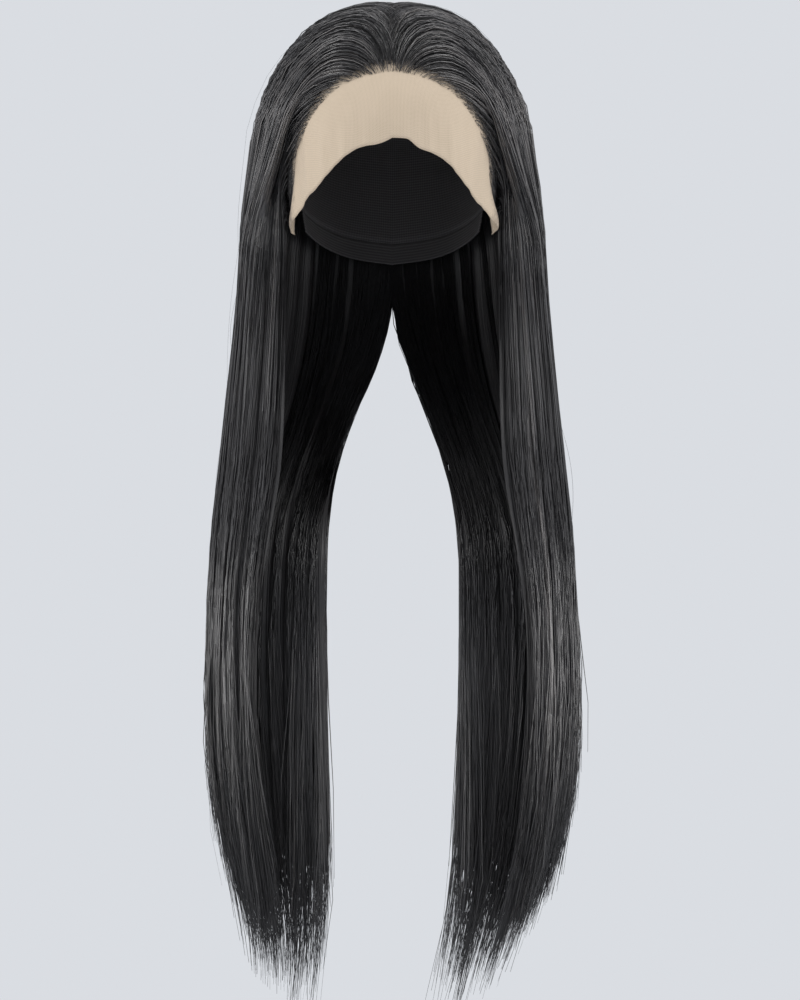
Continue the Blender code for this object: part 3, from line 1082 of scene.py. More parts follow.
@dataclass(frozen=True)
class LockStyle:
    """How strands gather in locks, in metres, in shares of the run or in steps of the order."""

    late_start: float = 0.10
    late_share: float = 0.4
    ring_shift: float = 0.45
    ring_bias: float = 1.15
    spread: float = 1.9
    head_gather: float = 0.6
    tip_gather: float = 0.40
    head_stretch: tuple[float, float] = (0.0, 0.35)
    tip_stretch: tuple[float, float] = (0.6, 0.4)
    wave_length: tuple[float, float] = (0.7, 1.6)
    long_drift: float = 0.0015
    short_drift: float = 0.0008
    short_wave: float = 2.3
    strand_drift: float = 0.0006
    strand_waves: tuple[float, float] = (1.5, 4.0)
    sway: float = 0.0010
    sway_wave: float = 1.4
    order_margin: float = 0.012
    ragged_lock: float = 0.034
    ragged_strand: float = 0.012
    ragged_reach: float = 0.022
    ragged_stretch: tuple[float, float] = (0.0, 0.30)
    hairline_scatter: float = 0.0044
    hairline_reach: float = 0.0145
    parting_scatter: float = 0.0016
    parting_lean: float = 0.0035
    parting_stretch: tuple[float, float] = (0.28, 0.08)
    lock_ends: tuple[float, float] = (-0.014, 0.022)
    strand_ends: tuple[float, float, float] = (-0.024, 0.018, 0.112)
    lock_sink: float = 0.0020
    fall_sink: float = 0.0026
    sink_power: float = 1.6
    strand_sink: float = 0.0007
    sink_gather: float = 0.5
    hidden_sink: float = 0.7
    most_raised: float = 0.0015
    least_depth: float = 0.0004
    lace_root: float = 0.0016
    cap_root: float = 0.08
    landing_run: float = 0.025
    lock_splay: float = 0.0036
    strand_splay: float = 0.0026
    splay_stretch: tuple[float, float] = (0.74, 0.26)
    taper: float = 0.72
    taper_stretch: tuple[float, float] = (0.78, 0.22)
    root_radius: float = 0.26
    root_run: float = 0.07
    fibre_range: tuple[float, float] = (0.55, 1.45)


@dataclass(frozen=True)
class Shading:
    """How light the strands are, from 0 to 1, and where along the hair that changes, with painted light in
    the lower falls, a painted highlight at the crown's side, and painted shade beside the face and in the
    recess beside the neck.
    """

    lock_range: float = 0.8
    lock_weight: float = 0.45
    strand_weight: float = 0.62
    strand_power: float = 1.5
    # painted light: the lower falls are drawn lighter where the lamps leave them dim
    lower_fall_painted_light: float = 0.34
    lower_fall_light_stretch: tuple[float, float] = (0.52, 0.3)
    # painted highlight: a lighter, glossier band round the crown's side
    crown_painted_highlight: float = 0.20
    crown_highlight_level: float = -0.075
    crown_highlight_width: float = 0.034
    middle: float = 0.30
    head_contrast: float = 1.25
    contrast_loss: float = 0.80
    # painted shade: strands darken towards the front layer's inner edge, beside the face
    painted_edge_shade: float = 0.20
    edge_shade_stretch: tuple[float, float] = (0.004, 0.06)
    # painted shade: inner strands darken above the chest, in the recess beside the neck
    recess_painted_shade_stretch: tuple[float, float] = (0.33, 0.09)
    streak_order: float = 0.115
    streak_light: float = 0.45
    streak_width: float = 0.013
    streak_wave: float = 0.010
    streak_bends: float = 62.0


@dataclass
class Section:
    """One section of the hair on one side: a packed layer under loose strands in locks."""

    place: str
    side: Side
    first: float
    last: float
    locks: int
    strands_a_lock: int
    inner_share: float
    seed: int
    form: HairForm = HairForm()
    style: LockStyle = LockStyle()
    shading: Shading = Shading()
    head_points: int = 11
    fall_points: int = 7
    head_share: float = HEAD_SHARE
    fall_start: float = 0.4
    fall_length: float = 0.5
    metres_an_order: float = 0.16
    fibre: float = 0.00044
    tip_lean: float = -0.012
    lean_stretch: tuple[float, float] = (0.63, 0.09)
    under_faces: tuple[int, int] = (24, 44)
    under_map: tuple[float, float] = (0.06, 0.75)
    under_margin: float = 0.003
    under_start: float = 0.012
    under_end: float = 0.085
    under_sink: float = 0.0034
    under_most_sink: float = 0.4
    under_taper: float = 0.8
    under_taper_stretch: tuple[float, float] = (0.7, 0.3)
    under_rib: float = 0.0008
    under_rib_count: int = 6
    under_rib_stretch: tuple[float, float] = (0.0, 0.3)

    @property
    def name(self) -> str:
        """Name of the frame's node that the section stands for."""
        return f"hair_{self.place}_{self.side.name.lower()}"

    @property
    def at_front(self) -> bool:
        """Whether the section is tied into the lace along the hairline."""
        return self.place == "front"

    def mirrored(self, points: np.ndarray) -> np.ndarray:
        """Returns points brought to this section's side, with the lean of the tips.

        Args:
            points: points as they are on the right, before the lean.

        Returns:
            The points on this side.
        """
        points = points.copy()
        points[..., 0] *= self.side.value
        points[..., 0] += self.tip_lean * rise(-points[..., 2], *self.lean_stretch)
        return points

    def under_points(self, across: np.ndarray, down: np.ndarray, is_outer: bool) -> np.ndarray:
        """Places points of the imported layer.

        Args:
            across: 0 at the section's first order and 1 at its last.
            down: 0 at the roots and 1 at the layer's end.
            is_outer: whether the points are on the outer surface.

        Returns:
            The points, one row each.
        """
        first, last = self.first + self.under_margin, self.last - self.under_margin
        order = first + (last - first) * across
        run = self.under_start + (1.0 - self.under_start) * down
        end = self.form.tip_level(order) + self.under_end
        inner, outer = self.form.walls(order, run, end, self.head_share)
        thickness = np.linalg.norm(outer - inner, axis=-1)
        thin = 1.0 - self.under_taper * rise(down, *self.under_taper_stretch)
        ribs = self.under_rib * np.cos(across * 2.0 * np.pi * self.under_rib_count)
        ribs = ribs * rise(down, *self.under_rib_stretch)
        sink = np.minimum(self.under_sink, thickness * self.under_most_sink)
        middle = (thickness * 0.5 - sink) * thin
        shift = np.where(is_outer, middle, -middle) + ribs
        return self.mirrored((outer + inner) * 0.5 + unit(outer - inner) * shift[..., None])

    def runs(self, lot: Lot) -> tuple[np.ndarray, np.ndarray]:
        """Returns where each strand starts, and the run of each of its points.

        Args:
            lot: the section's random values.

        Returns:
            A column of starts, and a row of runs for each strand.
        """
        style = self.style
        start = lot.per_strand(0.0, style.late_start) * (lot.per_strand(0.0, 1.0) < style.late_share)
        on_head = np.linspace(0.0, 1.0, self.head_points + 1) ** style.ring_bias * self.head_share
        falling = np.linspace(self.head_share, 1.0, self.fall_points + 1)[1:]
        stations = np.concatenate([on_head, falling])
        number = np.arange(len(stations))
        between = number % (len(stations) - 1) > 0
        steps = number + lot.per_strand(-style.ring_shift, style.ring_shift) * between
        run = np.interp(steps, number, stations)
        return start, start * (1.0 - run) + run

    def flow(self, lot: Lot) -> Flow:
        """Spreads the strands over the section, in locks that wander a little.

        Args:
            lot: the section's random values.

        Returns:
            Where the strands lie.
        """
        style = self.style
        start, run = self.runs(lot)
        in_fall = rise(run, self.head_share * self.fall_start, self.fall_length)
        width = (self.last - self.first) / lot.locks
        number = lot.rng.permutation(lot.locks)
        middle = (self.first + (self.last - self.first) * (number + 0.5) / lot.locks)[lot.lock]
        spread = style.spread - style.head_gather * rise(run, *style.head_stretch)
        spread = spread - style.tip_gather * rise(run, *style.tip_stretch)
        offset = lot.per_strand(-1.0, 1.0) * width * spread
        turn = 2.0 * np.pi
        phase = lot.rng.uniform(0.0, turn, (3, lot.locks))[:, lot.lock, None]
        length = lot.per_lock(*style.wave_length)
        drift = style.long_drift * np.sin(turn * run / length + phase[0])
        drift = drift + style.short_drift * np.sin(turn * run * style.short_wave / length + phase[1])
        own = lot.per_strand(0.0, turn)
        drift = drift + style.strand_drift * np.sin(turn * run * lot.per_strand(*style.strand_waves) + own)
        order = middle[:, None] + offset + drift * in_fall / self.metres_an_order
        order = np.clip(order, self.first - style.order_margin, self.last + style.order_margin)
        order = 1.0 - np.abs(1.0 - np.abs(order))
        ragged = lot.per_lock(0.0, style.ragged_lock) + lot.per_strand(0.0, style.ragged_strand)
        fading = np.exp(-order / style.ragged_reach) * rise(run, *style.ragged_stretch)
        sway = style.sway * np.sin(turn * run * style.sway_wave / length + phase[2])
        return Flow(start, run, in_fall, middle, order + ragged * fading, sway)

    def root_scatter(self, lot: Lot, middle: np.ndarray) -> np.ndarray:
        """Returns how far each root lies towards the face and to its own side, in head radii.

        Args:
            lot: the section's random values.
            middle: middle order of each strand's lock.

        Returns:
            Both distances for each strand.
        """
        style = self.style
        forward = np.minimum(lot.rng.exponential(style.hairline_scatter, lot.count), style.hairline_reach)
        beside = lot.rng.normal(0.0, style.parting_scatter, lot.count)
        beside = beside + lot.per_lock(-style.parting_lean, style.parting_lean)[:, 0]
        beside = beside * rise(middle, *style.parting_stretch)
        scatter = np.stack([forward * self.at_front, beside], axis=-1)
        return scatter[:, None, :] / self.form.head.crown_height

    def ends(self, lot: Lot, middle: np.ndarray) -> np.ndarray:
        """Returns the level of each strand's tip, in a column.

        Args:
            lot: the section's random values.
            middle: middle order of each strand's lock.

        Returns:
            The levels.
        """
        tip = self.form.tip_level(middle) + lot.per_lock(*self.style.lock_ends)[:, 0]
        end = tip + lot.rng.triangular(*self.style.strand_ends, lot.count)
        return np.maximum(end, self.form.lowest)[:, None]

    def sinks(self, lot: Lot, flow: Flow, depth: np.ndarray) -> tuple[np.ndarray, np.ndarray]:
        """Lays the locks over and under each other.

        Args:
            lot: the section's random values.
            flow: where the strands lie.
            depth: depth of the hair at each point.

        Returns:
            Which strands lie on the hair's inner side, and how deep each point lies in it.
        """
        style = self.style
        hidden = lot.per_lock(0.0, 1.0) < self.inner_share
        most = style.lock_sink + style.fall_sink * flow.in_fall
        sink = lot.per_lock(0.0, 1.0) ** style.sink_power * most
        sink = sink + lot.rng.normal(0.0, style.strand_sink, (lot.count, 1)) + flow.sway * flow.in_fall
        gather = 1.0 - style.sink_gather * rise(flow.run, *style.tip_stretch)
        sink = np.where(hidden, depth - np.abs(sink) * style.hidden_sink, sink * gather)
        sink = np.clip(sink, -style.most_raised, np.maximum(depth - style.least_depth, 0.0))
        rooted = np.where(self.at_front, depth + style.lace_root, sink + (depth - sink) * style.cap_root)
        return hidden, rooted + (sink - rooted) * rise(flow.run, flow.start, style.landing_run)

    def splays(self, lot: Lot, run: np.ndarray) -> np.ndarray:
        """Returns how far each point moves in X and Y as its lock opens at the tip.

        Args:
            lot: the section's random values.
            run: run of each point.

        Returns:
            Both distances for each point.
        """
        style = self.style
        lock_splay = lot.rng.normal(0.0, style.lock_splay, (lot.locks, 1, 2))[lot.lock]
        splay = lock_splay + lot.rng.normal(0.0, style.strand_splay, (lot.count, 1, 2))
        return splay * rise(run, *style.splay_stretch)[..., None]

    def radii(self, lot: Lot, flow: Flow) -> np.ndarray:
        """Returns the radius at each point, thin at the root and the tip.

        Args:
            lot: the section's random values.
            flow: where the strands lie.

        Returns:
            The radii.
        """
        style = self.style
        taper = 1.0 - style.taper * rise(flow.run, *style.taper_stretch)
        root = style.root_radius + (1.0 - style.root_radius) * rise(flow.run, flow.start, style.root_run)
        return self.fibre * lot.per_strand(*style.fibre_range) * taper * root

    def shades(self, lot: Lot, flow: Flow, z: np.ndarray, hidden: np.ndarray) -> np.ndarray:
        """Shades the strands: a painted highlight at the crown's side, painted light in the lower fall, and
        painted shade beside the face and on the inner strands in the recess beside the neck.

        Args:
            lot: the section's random values.
            flow: where the strands lie.
            z: level of each point.
            hidden: which strands lie on the hair's inner side.

        Returns:
            How light each point is.
        """
        look = self.shading
        shade = lot.per_lock(0.0, look.lock_range) * look.lock_weight
        shade = shade + lot.per_strand(0.0, 1.0) ** look.strand_power * look.strand_weight
        # painted light in the lower fall
        shade = shade + look.lower_fall_painted_light * rise(flow.run, *look.lower_fall_light_stretch)
        # painted highlight round the crown's side
        shade = shade + look.crown_painted_highlight * hill(z, look.crown_highlight_level, look.crown_highlight_width)
        contrast = look.head_contrast - look.contrast_loss * flow.in_fall
        shade = look.middle + (shade - look.middle) * contrast
        # painted shade towards the inner edge beside the face
        edge = rise(flow.order, *look.edge_shade_stretch)
        shade = shade * (look.painted_edge_shade + (1.0 - look.painted_edge_shade) * edge)
        # painted shade on the inner strands in the recess beside the neck
        shade = np.where(hidden, shade * rise(-z, *look.recess_painted_shade_stretch), shade)
        if self.side is Side.RIGHT and self.at_front:
            wave = look.streak_order + look.streak_wave * np.sin(z * look.streak_bends)
            shade = shade + look.streak_light * hill(flow.order, wave, look.streak_width)
        return shade

    def loose_strands(self) -> Strands:
        """Lays the strands of every lock, each from its root to its tip.

        Returns:
            The strands.
        """
        lot = Lot(self.seed, self.locks, self.strands_a_lock)
        flow = self.flow(lot)
        scatter = self.root_scatter(lot, flow.middle)
        end = np.repeat(self.ends(lot, flow.middle), flow.run.shape[1], axis=1)
        inner, outer = self.form.walls(flow.order, flow.run, end, self.head_share, scatter)
        hidden, sink = self.sinks(lot, flow, np.linalg.norm(outer - inner, axis=-1))
        paths = outer - unit(outer - inner) * sink[..., None]
        paths[..., :2] += self.splays(lot, flow.run)
        radii = self.radii(lot, flow)
        return Strands(self.mirrored(paths), radii, self.shades(lot, flow, paths[..., 2], hidden))

    def build(self, strand_finish: bpy.types.Material, under_finish: bpy.types.Material) -> None:
        """Builds the section's two layers.

        Args:
            strand_finish: material of the loose strands.
            under_finish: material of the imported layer.
        """
        under = grid_wall(f"{self.name}_under", self.under_faces, self.under_points, self.under_map)
        link(under, [self.name], under_finish)
        link(self.loose_strands().mesh(f"{self.name}_strands"), [self.name], strand_finish)


@dataclass
class Wisps:
    """The fine short hairs along the hairline and the stray hairs outside the falls, on one side."""

    side: Side
    seed: int
    form: HairForm = HairForm()
    line_points: int = 60
    line_start: float = 0.04
    baby_count: int = 1500
    baby_points: int = 5
    baby_radius: float = 0.00017
    baby_lengths: tuple[float, float] = (0.005, 0.016)
    baby_scatter: float = 0.0060
    baby_reach: float = 0.0165
    baby_setback: float = 0.001
    baby_flow_run: float = 0.06
    baby_mix: tuple[float, float] = (0.15, 0.85)
    baby_tousle: float = 0.22
    baby_bend: float = 0.2
    baby_root_lift: float = 0.0012
    baby_tip_lifts: tuple[float, float] = (0.0008, 0.0036)
    baby_taper: float = 0.7
    baby_shades: tuple[float, float] = (0.2, 0.8)
    stray_count: int = 46
    stray_points: int = 16
    stray_radius: float = 0.00011
    stray_starts: tuple[float, float] = (0.05, 0.75)
    stray_lengths: tuple[float, float] = (0.10, 0.28)
    stray_orders: tuple[float, float] = (0.1, 0.95)
    stray_wander: float = 0.03
    stray_waves: tuple[float, float] = (0.5, 1.5)
    stray_margin: float = 0.02
    stray_stand: float = 0.0028
    stray_peaks: tuple[float, float] = (0.6, 1.6)
    stray_most: float = 0.006
    stray_sink: float = 0.0005
    stray_shade: float = 0.6
    width_range: tuple[float, float] = (0.6, 1.3)
    stray_width_range: tuple[float, float] = (0.7, 1.3)

    def hairline_orders(self, shares: np.ndarray) -> np.ndarray:
        """Returns the orders at shares of the hairline's length.

        Args:
            shares: 0 beside the ear and 1 at the middle of the forehead.

        Returns:
            The orders.
        """
        order = np.linspace(0.0, self.form.forehead_order, self.line_points)
        rows = SmoothTable.of(self.form.hairline).at(order)
        line = direction(rows[:, 0], self.form.head.elevation_of(rows[:, 1]))
        lengths = np.cumsum(np.r_[0.0, np.linalg.norm(np.diff(line, axis=0), axis=-1)])
        return np.interp(shares * lengths[-1], lengths, order)

    def baby_hairs(self) -> Strands:
        """Lays the short hairs, which lean back from the lace into the combed hair.

        Returns:
            The hairs.
        """
        rng = np.random.default_rng(self.seed)
        count = self.baby_count
        radius = self.form.head.crown_height
        order = self.hairline_orders(rng.uniform(self.line_start, 1.0, count))
        root = direction(*self.form.root_angles(order))
        flow_run = np.full(count, self.baby_flow_run)
        flow = unit(direction(*self.form.strand_angles(order, flow_run)) - root)
        face = direction(0.0, self.form.face_elevation)
        back = -unit(face - np.sum(face * root, axis=-1, keepdims=True) * root)
        forward = np.minimum(rng.exponential(self.baby_scatter, count), self.baby_reach) - self.baby_setback
        mix = rng.uniform(*self.baby_mix, (count, 1))
        lean = unit(back * mix + flow * (1.0 - mix) + rng.normal(0.0, self.baby_tousle, (count, 3)))
        reach = (rng.uniform(*self.baby_lengths, count) / radius)[:, None, None]
        along = np.linspace(0.0, 1.0, self.baby_points)[None, :, None]
        bend = unit(flow + self.baby_bend * rng.normal(0.0, 1.0, (count, 3)))
        place = root[:, None] - back[:, None] * (forward / radius)[:, None, None]
        place = place + (lean[:, None] * along + (bend - lean)[:, None] * along**2 * 0.5) * reach
        azimuth, elevation = angles_of(unit(place))
        along = along[..., 0]
        lift = self.baby_root_lift + along * rng.uniform(*self.baby_tip_lifts, (count, 1))
        paths = self.form.head.point(azimuth, elevation, lift)
        paths[..., 0] *= self.side.value
        taper = 1.0 - self.baby_taper * along**2
        radii = self.baby_radius * rng.uniform(*self.width_range, (count, 1)) * taper
        return Strands(paths, radii, np.broadcast_to(rng.uniform(*self.baby_shades, (count, 1)), radii.shape))

    def stray_hairs(self) -> Strands:
        """Lays single hairs that stand a little off the combed surface.

        Returns:
            The hairs.
        """
        rng = np.random.default_rng(self.seed + 1)
        count = self.stray_count
        start = rng.uniform(*self.stray_starts, count)
        stop = np.minimum(start + rng.uniform(*self.stray_lengths, count), 1.0)
        along = np.linspace(0.0, 1.0, self.stray_points)[None, :]
        run = start[:, None] + (stop - start)[:, None] * along
        middle = rng.uniform(*self.stray_orders, (count, 1))
        turns = run * rng.uniform(*self.stray_waves, (count, 1)) + rng.uniform(0.0, 1.0, (count, 1))
        order = middle + self.stray_wander * np.sin(2.0 * np.pi * turns)
        order = np.clip(order, self.stray_margin, 1.0 - self.stray_margin)
        end = np.repeat(self.form.tip_level(order[:, :1]), self.stray_points, axis=1)
        inner, outer = self.form.walls(order, run, end, HEAD_SHARE)
        stand = np.minimum(rng.exponential(self.stray_stand, (count, 1)), self.stray_most)
        stand = stand * np.sin(np.pi * along ** rng.uniform(*self.stray_peaks, (count, 1)))
        paths = outer + unit(outer - inner) * (stand - self.stray_sink)[..., None]
        paths[..., 0] *= self.side.value
        radii = self.stray_radius * rng.uniform(*self.stray_width_range, (count, 1)) * np.ones_like(run)
        return Strands(paths, radii, np.full(radii.shape, self.stray_shade))

    def build(self, finish: bpy.types.Material) -> None:
        """Builds both kinds of wisps.

        Args:
            finish: their material.
        """
        name = self.side.name.lower()
        link(self.baby_hairs().mesh(f"baby_hairs_{name}"), [], finish)
        link(self.stray_hairs().mesh(f"stray_hairs_{name}"), [], finish)


@dataclass
class NetCap:
    """The stretch net cap, its lace front and its nape band."""

    head: HeadForm = HeadForm()
    seam_gap: float = 0.0004
    lace_thickness: float = 0.0003
    lace_last: float = 90.0
    lace_rise: float = 0.0005
    lace_faces: tuple[int, int] = (120, 44)
    lace_map: tuple[float, float] = (0.270, 0.120)
    lace_flat: tuple[float, float] = (0.285, 0.106)
    scissor_wander: float = 0.0003
    scissor_waves: float = 0.31
    tab_azimuth: float = 80.0
    tab_width: float = 20.0
    tab_lifts: tuple[float, float] = (0.0070, 0.0095)
    tab_stretch: tuple[float, float] = (0.66, 0.34)
    bare_stretch: tuple[float, float] = (0.5, 0.4)
    crease_floor: float = -0.0004
    knot_line_points: int = 200
    knot_lift: float = 0.001
    knot_reach: float = 0.0160
    net_thickness: float = 0.0010
    weft_height: float = 0.0004
    weft_step: float = 9.0
    weld: float = 0.00002
    dome_faces: tuple[int, int] = (96, 48)
    dome_map: tuple[float, float] = (0.52, 0.20)
    dome_flat: tuple[float, float] = (0.300, 0.190)
    band_first: float = 112.5
    band_turn: float = 135.0
    band_drop: float = 8.0
    band_thickness: float = 0.0014
    rib_height: float = 0.0002
    rib_count: int = 4
    band_faces: tuple[int, int] = (72, 12)
    band_map: tuple[float, float] = (0.190, 0.016)
    band_flat: tuple[float, float] = (0.190, 0.0175)

    # height of each crease in the bare lace, its waves an azimuth degree and its slant
    creases: tuple[tuple[float, float, float], ...] = (
        (0.00045, 0.42, 5.0),
        (0.00030, 0.93, -7.0),
    )

    # azimuth and z of the lace's front edge
    lace_edge: tuple[tuple[float, float], ...] = (
        (0.0, -0.0960),
        (18.9, -0.1030),
        (32.2, -0.1126),
        (47.5, -0.1270),
        (64.0, -0.1410),
        (77.0, -0.1520),
        (90.0, -0.1560),
    )

    # azimuth, rising to the viewer's right, and how far the scissors strayed from that edge
    trim: tuple[tuple[float, float], ...] = (
        (-90.0, 0.0000),
        (-62.0, 0.0014),
        (-40.0, -0.0010),
        (-22.0, 0.0012),
        (-8.0, -0.0004),
        (5.0, 0.0024),
        (9.0, 0.0030),
        (15.0, -0.0006),
        (33.0, 0.0010),
        (50.0, -0.0012),
        (68.0, 0.0012),
        (90.0, 0.0000),
    )

    # azimuth and elevation of the cap's edge
    cap_edge: tuple[tuple[float, float], ...] = (
        (0.0, 50.0),
        (30.0, 47.0),
        (60.0, 33.0),
        (80.0, 8.0),
        (95.0, -16.0),
        (115.0, -25.0),
        (145.0, -32.0),
        (180.0, -35.0),
    )

    def edge_elevation(self, azimuth: np.ndarray) -> np.ndarray:
        """Returns the elevation of the cap's edge."""
        away = np.abs((azimuth + 180.0) % 360.0 - 180.0)
        return SmoothTable.of(self.cap_edge).at(away)[..., 0]

    def lace_points(self, across: np.ndarray, down: np.ndarray, is_outer: bool) -> np.ndarray:
        """Places points of the lace, from its seam with the cap to its trimmed front edge.

        Args:
            across: 0 at the left ear and 1 at the right ear.
            down: 0 at the seam and 1 at the front edge.
            is_outer: whether the points are on the outer surface.

        Returns:
            The points, one row each.
        """
        azimuth = self.lace_last * (2.0 * across - 1.0)
        away = np.abs(azimuth)
        top = self.edge_elevation(azimuth) - math.degrees(self.seam_gap / self.head.crown_height)
        wander = self.scissor_wander * np.sin(azimuth * self.scissor_waves)
        trim = SmoothTable.of(self.trim).at(azimuth)[..., 0] + wander
        bottom = self.head.elevation_of(SmoothTable.of(self.lace_edge).at(away)[..., 0] + trim)
        elevation = top + (bottom - top) * down
        tab = smooth_step(1.0 - np.abs(away - self.tab_azimuth) / self.tab_width)
        lift = np.where(azimuth < 0.0, *self.tab_lifts) * tab * rise(down, *self.tab_stretch)
        crease = 0.0
        for height, waves, slant in self.creases:
            crease = crease + height * np.cos(azimuth * waves + slant * down)
        bare = rise(down, *self.bare_stretch)
        lift = lift + self.lace_rise + bare * np.maximum(crease, self.crease_floor)
        return self.head.point(azimuth, elevation, lift + np.where(is_outer, self.lace_thickness, 0.0))

    def lace(self, finish: bpy.types.Material) -> None:
        """Models the lace.

        Args:
            finish: its material.
        """
        mesh = grid_wall("lace_sheet", self.lace_faces, self.lace_points, self.lace_map)
        self.tie_knots(mesh)
        piece = link(mesh, ["lace_front"], finish)

    def tie_knots(self, mesh: bpy.types.Mesh) -> None:
        """Marks how thickly the lace is knotted with hair, which thins out in front of the hairline.

        Args:
            mesh: the lace's mesh.
        """
        form = HairForm()
        points = np.empty(3 * len(mesh.vertices))
        mesh.vertices.foreach_get("co", points)
        points = points.reshape(-1, 3)
        points[:, 0] = np.abs(points[:, 0])
        line = SmoothTable.of(form.hairline).at(np.linspace(0.0, form.forehead_order, self.knot_line_points))
        roots = self.head.point(line[:, 0], self.head.elevation_of(line[:, 1]), self.knot_lift)
        away = np.linalg.norm(points[:, None] - roots[None], axis=-1).min(axis=1)
        thickness = np.clip(1.0 - away / self.knot_reach, 0.0, 1.0)
        knots = mesh.attributes.new("knots", "FLOAT", "POINT")
        knots.data.foreach_set("value", thickness.astype(np.float32))

    def dome(self, finish: bpy.types.Material) -> None:
        """Models the net dome, with low ridges where the rows that carry the hair are sewn.

        Args:
            finish: its material.
        """
        columns, rows = self.dome_faces
        shape = bmesh.new()
        bmesh.ops.create_grid(shape, x_segments=columns, y_segments=rows, size=0.5)
        vertices = list(shape.verts)
        map_metres(shape, self.dome_map)
        flat = np.array([grid_place(vertex) for vertex in vertices])
        azimuth = 360.0 * flat[:, 0]
        elevation = 90.0 + (self.edge_elevation(azimuth) - 90.0) * flat[:, 1]
        ridge = 0.5 - 0.5 * np.cos(2.0 * np.pi * (90.0 - elevation) / self.weft_step)
        move_to(vertices, self.head.point(azimuth, elevation, self.weft_height * ridge))
        bmesh.ops.remove_doubles(shape, verts=shape.verts[:], dist=self.weld)
        mesh = closed_mesh(shape, "cap_dome")
        piece = link(mesh, ["cap"], finish)
        wall = piece.modifiers.new("wall", "SOLIDIFY")
        wall.thickness = self.net_thickness
        wall.offset = 1.0

    def band_points(self, across: np.ndarray, down: np.ndarray, is_outer: bool) -> np.ndarray:
        """Places points of the elastic band, under the cap's rear edge.

        Args:
            across: 0 at the band's right end and 1 at its left.
            down: 0 at the seam and 1 at the band's lower edge.
            is_outer: whether the points are on the outer surface.

        Returns:
            The points, one row each.
        """
        gap = self.seam_gap / self.head.low_depth * self.head.low_angle
        azimuth = self.band_first + self.band_turn * across
        elevation = self.edge_elevation(azimuth) - gap - self.band_drop * down
        rib = self.rib_height * np.cos(down * 2.0 * np.pi * self.rib_count)
        return self.head.point(azimuth, elevation, np.where(is_outer, self.band_thickness + rib, 0.0))

    def band(self, finish: bpy.types.Material) -> None:
        """Models the elastic band.

        Args:
            finish: its material.
        """
        mesh = grid_wall("nape_elastic", self.band_faces, self.band_points, self.band_map)
        piece = link(mesh, ["nape_band"], finish)

    def build(self) -> None:
        """Builds the cap, the lace and the band."""
        self.dome(NetFinish().material())
        self.lace(LaceFinish().material())
        self.band(NetFinish("elastic_rib", across=0.0009, along=0.0022).material())


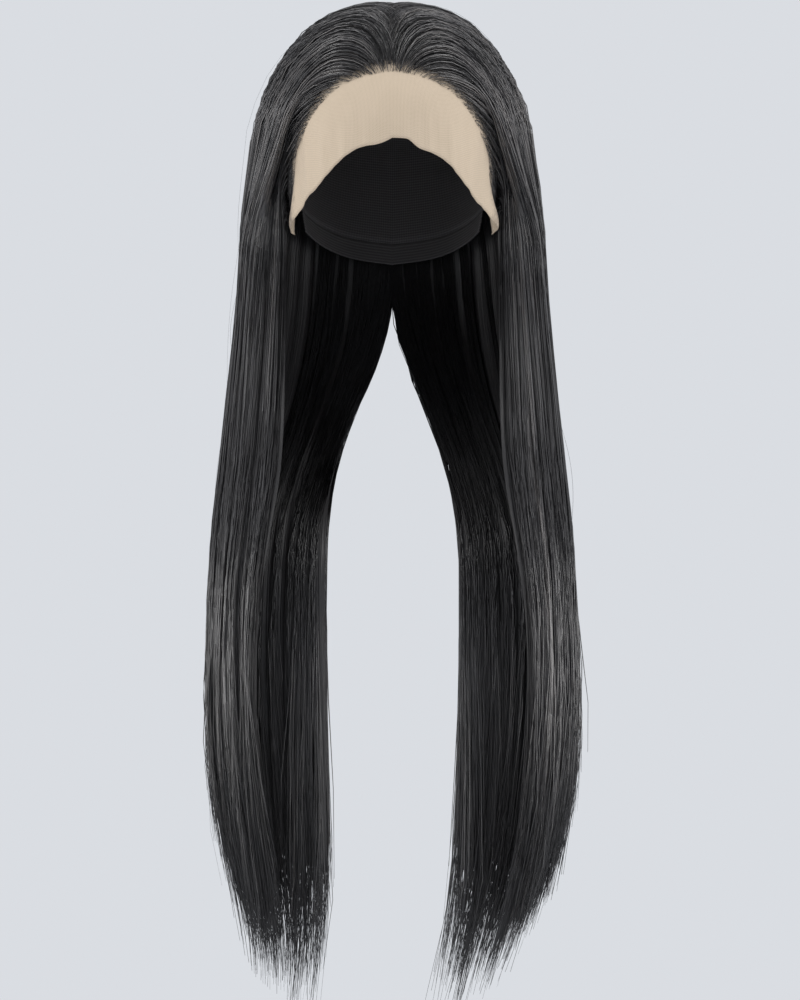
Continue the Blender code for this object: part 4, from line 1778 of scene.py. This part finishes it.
@dataclass
class Studio:
    """The camera, the soft lights, the pale floor and the pale air round them."""

    frame_pixels: int = 1000
    pixel: float = 0.000715
    sensor: float = 36.0
    face_plane: float = -0.09
    distance: float = 2.3
    centre_x: float = 0.0057
    centre_z: float = -0.353
    floor_z: float = -1.02
    floor_radius: float = 1.8
    floor_segments: int = 96
    paper: tuple[float, float, float] = (0.60, 0.618, 0.645)
    paper_roughness: float = 0.95
    air: tuple[float, float, float] = (0.700, 0.723, 0.762)
    air_strength: float = 1.0
    lamp_colour: tuple[float, float, float] = (1.0, 0.985, 0.97)
    lamp_aim: tuple[float, float, float] = (0.0, 0.0, -0.25)

    # name, place on the right, width and power of the lights, each of which has a twin on the left
    lamps: tuple[tuple[str, tuple[float, float, float], float, float], ...] = (
        ("high_light", (1.15, -0.55, 1.45), 0.8, 11.0),
        ("side_light", (1.7, -0.7, -0.40), 1.0, 11.5),
    )

    def camera(self) -> None:
        """Places the camera level with the middle of the wig, in front of it."""
        lens = bpy.data.cameras.new("camera")
        lens.sensor_width = self.sensor
        lens.lens = lens.sensor_width * self.distance / (self.frame_pixels * self.pixel)
        camera = bpy.data.objects.new("camera", lens)
        camera.location = (self.centre_x, self.face_plane - self.distance, self.centre_z)
        camera.rotation_euler = (math.radians(90.0), 0.0, 0.0)
        bpy.context.scene.collection.objects.link(camera)
        bpy.context.scene.camera = camera

    def light(self, name: str, place: Sequence[float], size: float, power: float) -> None:
        """Adds one soft square light that faces the wig.

        Args:
            name: name of the light.
            place: where its middle is.
            size: its width.
            power: its power, in watts.
        """
        lamp = bpy.data.lights.new(name, "AREA")
        lamp.size = size
        lamp.energy = power
        lamp.color = self.lamp_colour
        item = bpy.data.objects.new(name, lamp)
        item.location = place
        aim = Vector(self.lamp_aim) - Vector(place)
        item.rotation_euler = aim.to_track_quat("-Z", "Y").to_euler()
        bpy.context.scene.collection.objects.link(item)

    def floor(self) -> None:
        """Models the pale round floor under the wig."""
        shape = bmesh.new()
        bmesh.ops.create_circle(shape, cap_ends=True, segments=self.floor_segments, radius=self.floor_radius)
        bmesh.ops.translate(shape, verts=shape.verts[:], vec=(0.0, 0.0, self.floor_z))
        mesh = bpy.data.meshes.new("studio_floor")
        shape.to_mesh(mesh)
        shape.free()
        book = NodeBook("floor_paper")
        book.surface(Base_Color=self.paper, Roughness=self.paper_roughness)
        mesh.materials.append(book.material)
        piece = bpy.data.objects.new("studio_floor", mesh)
        bpy.context.scene.collection.objects.link(piece)
        LOG.info("%s: %.1f m wide", mesh.name, 2.0 * self.floor_radius)

    def world(self) -> None:
        """Fills the space round the wig with pale, even light."""
        world = bpy.data.worlds.new("studio_air")
        world.use_nodes = True
        background = world.node_tree.nodes["Background"]
        background.inputs["Color"].default_value = (*self.air, 1.0)
        background.inputs["Strength"].default_value = self.air_strength
        bpy.context.scene.world = world

    def build(self) -> None:
        """Builds the studio."""
        self.camera()
        self.floor()
        for side in Side:
            for name, (x, y, z), size, power in self.lamps:
                self.light(f"{side.name.lower()}_{name}", (x * side.value, y, z), size, power)
        self.world()
        bpy.context.scene.view_settings.view_transform = "Standard"


def main() -> None:
    """Builds the studio and the wig."""
    logging.basicConfig(level=logging.INFO, format="%(name)s: %(message)s")
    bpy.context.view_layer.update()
    Studio().build()
    NetCap().build()
    finish = HairFinish()
    strand_finish, under_finish = finish.strands(), finish.under_layer()
    form = HairForm()
    # place, first and last order, locks, strands a lock, and the share of locks on the inner side
    sections = (
        ("front", 0.0, form.forehead_order, 66, 21, 0.05),
        ("side", form.forehead_order, form.crown_order, 58, 20, 0.05),
        ("back", form.crown_order, 1.0, 54, 19, 0.45),
    )
    for number, (place, *sizes) in enumerate(sections):
        for side in Side:
            seed = 10 * number + int(side.value) + FIRST_SECTION_SEED
            Section(place, side, *sizes, seed=seed).build(strand_finish, under_finish)
    for side in Side:
        Wisps(side, seed=FIRST_WISP_SEED + int(side.value)).build(strand_finish)


if __name__ == "__main__":
    main()
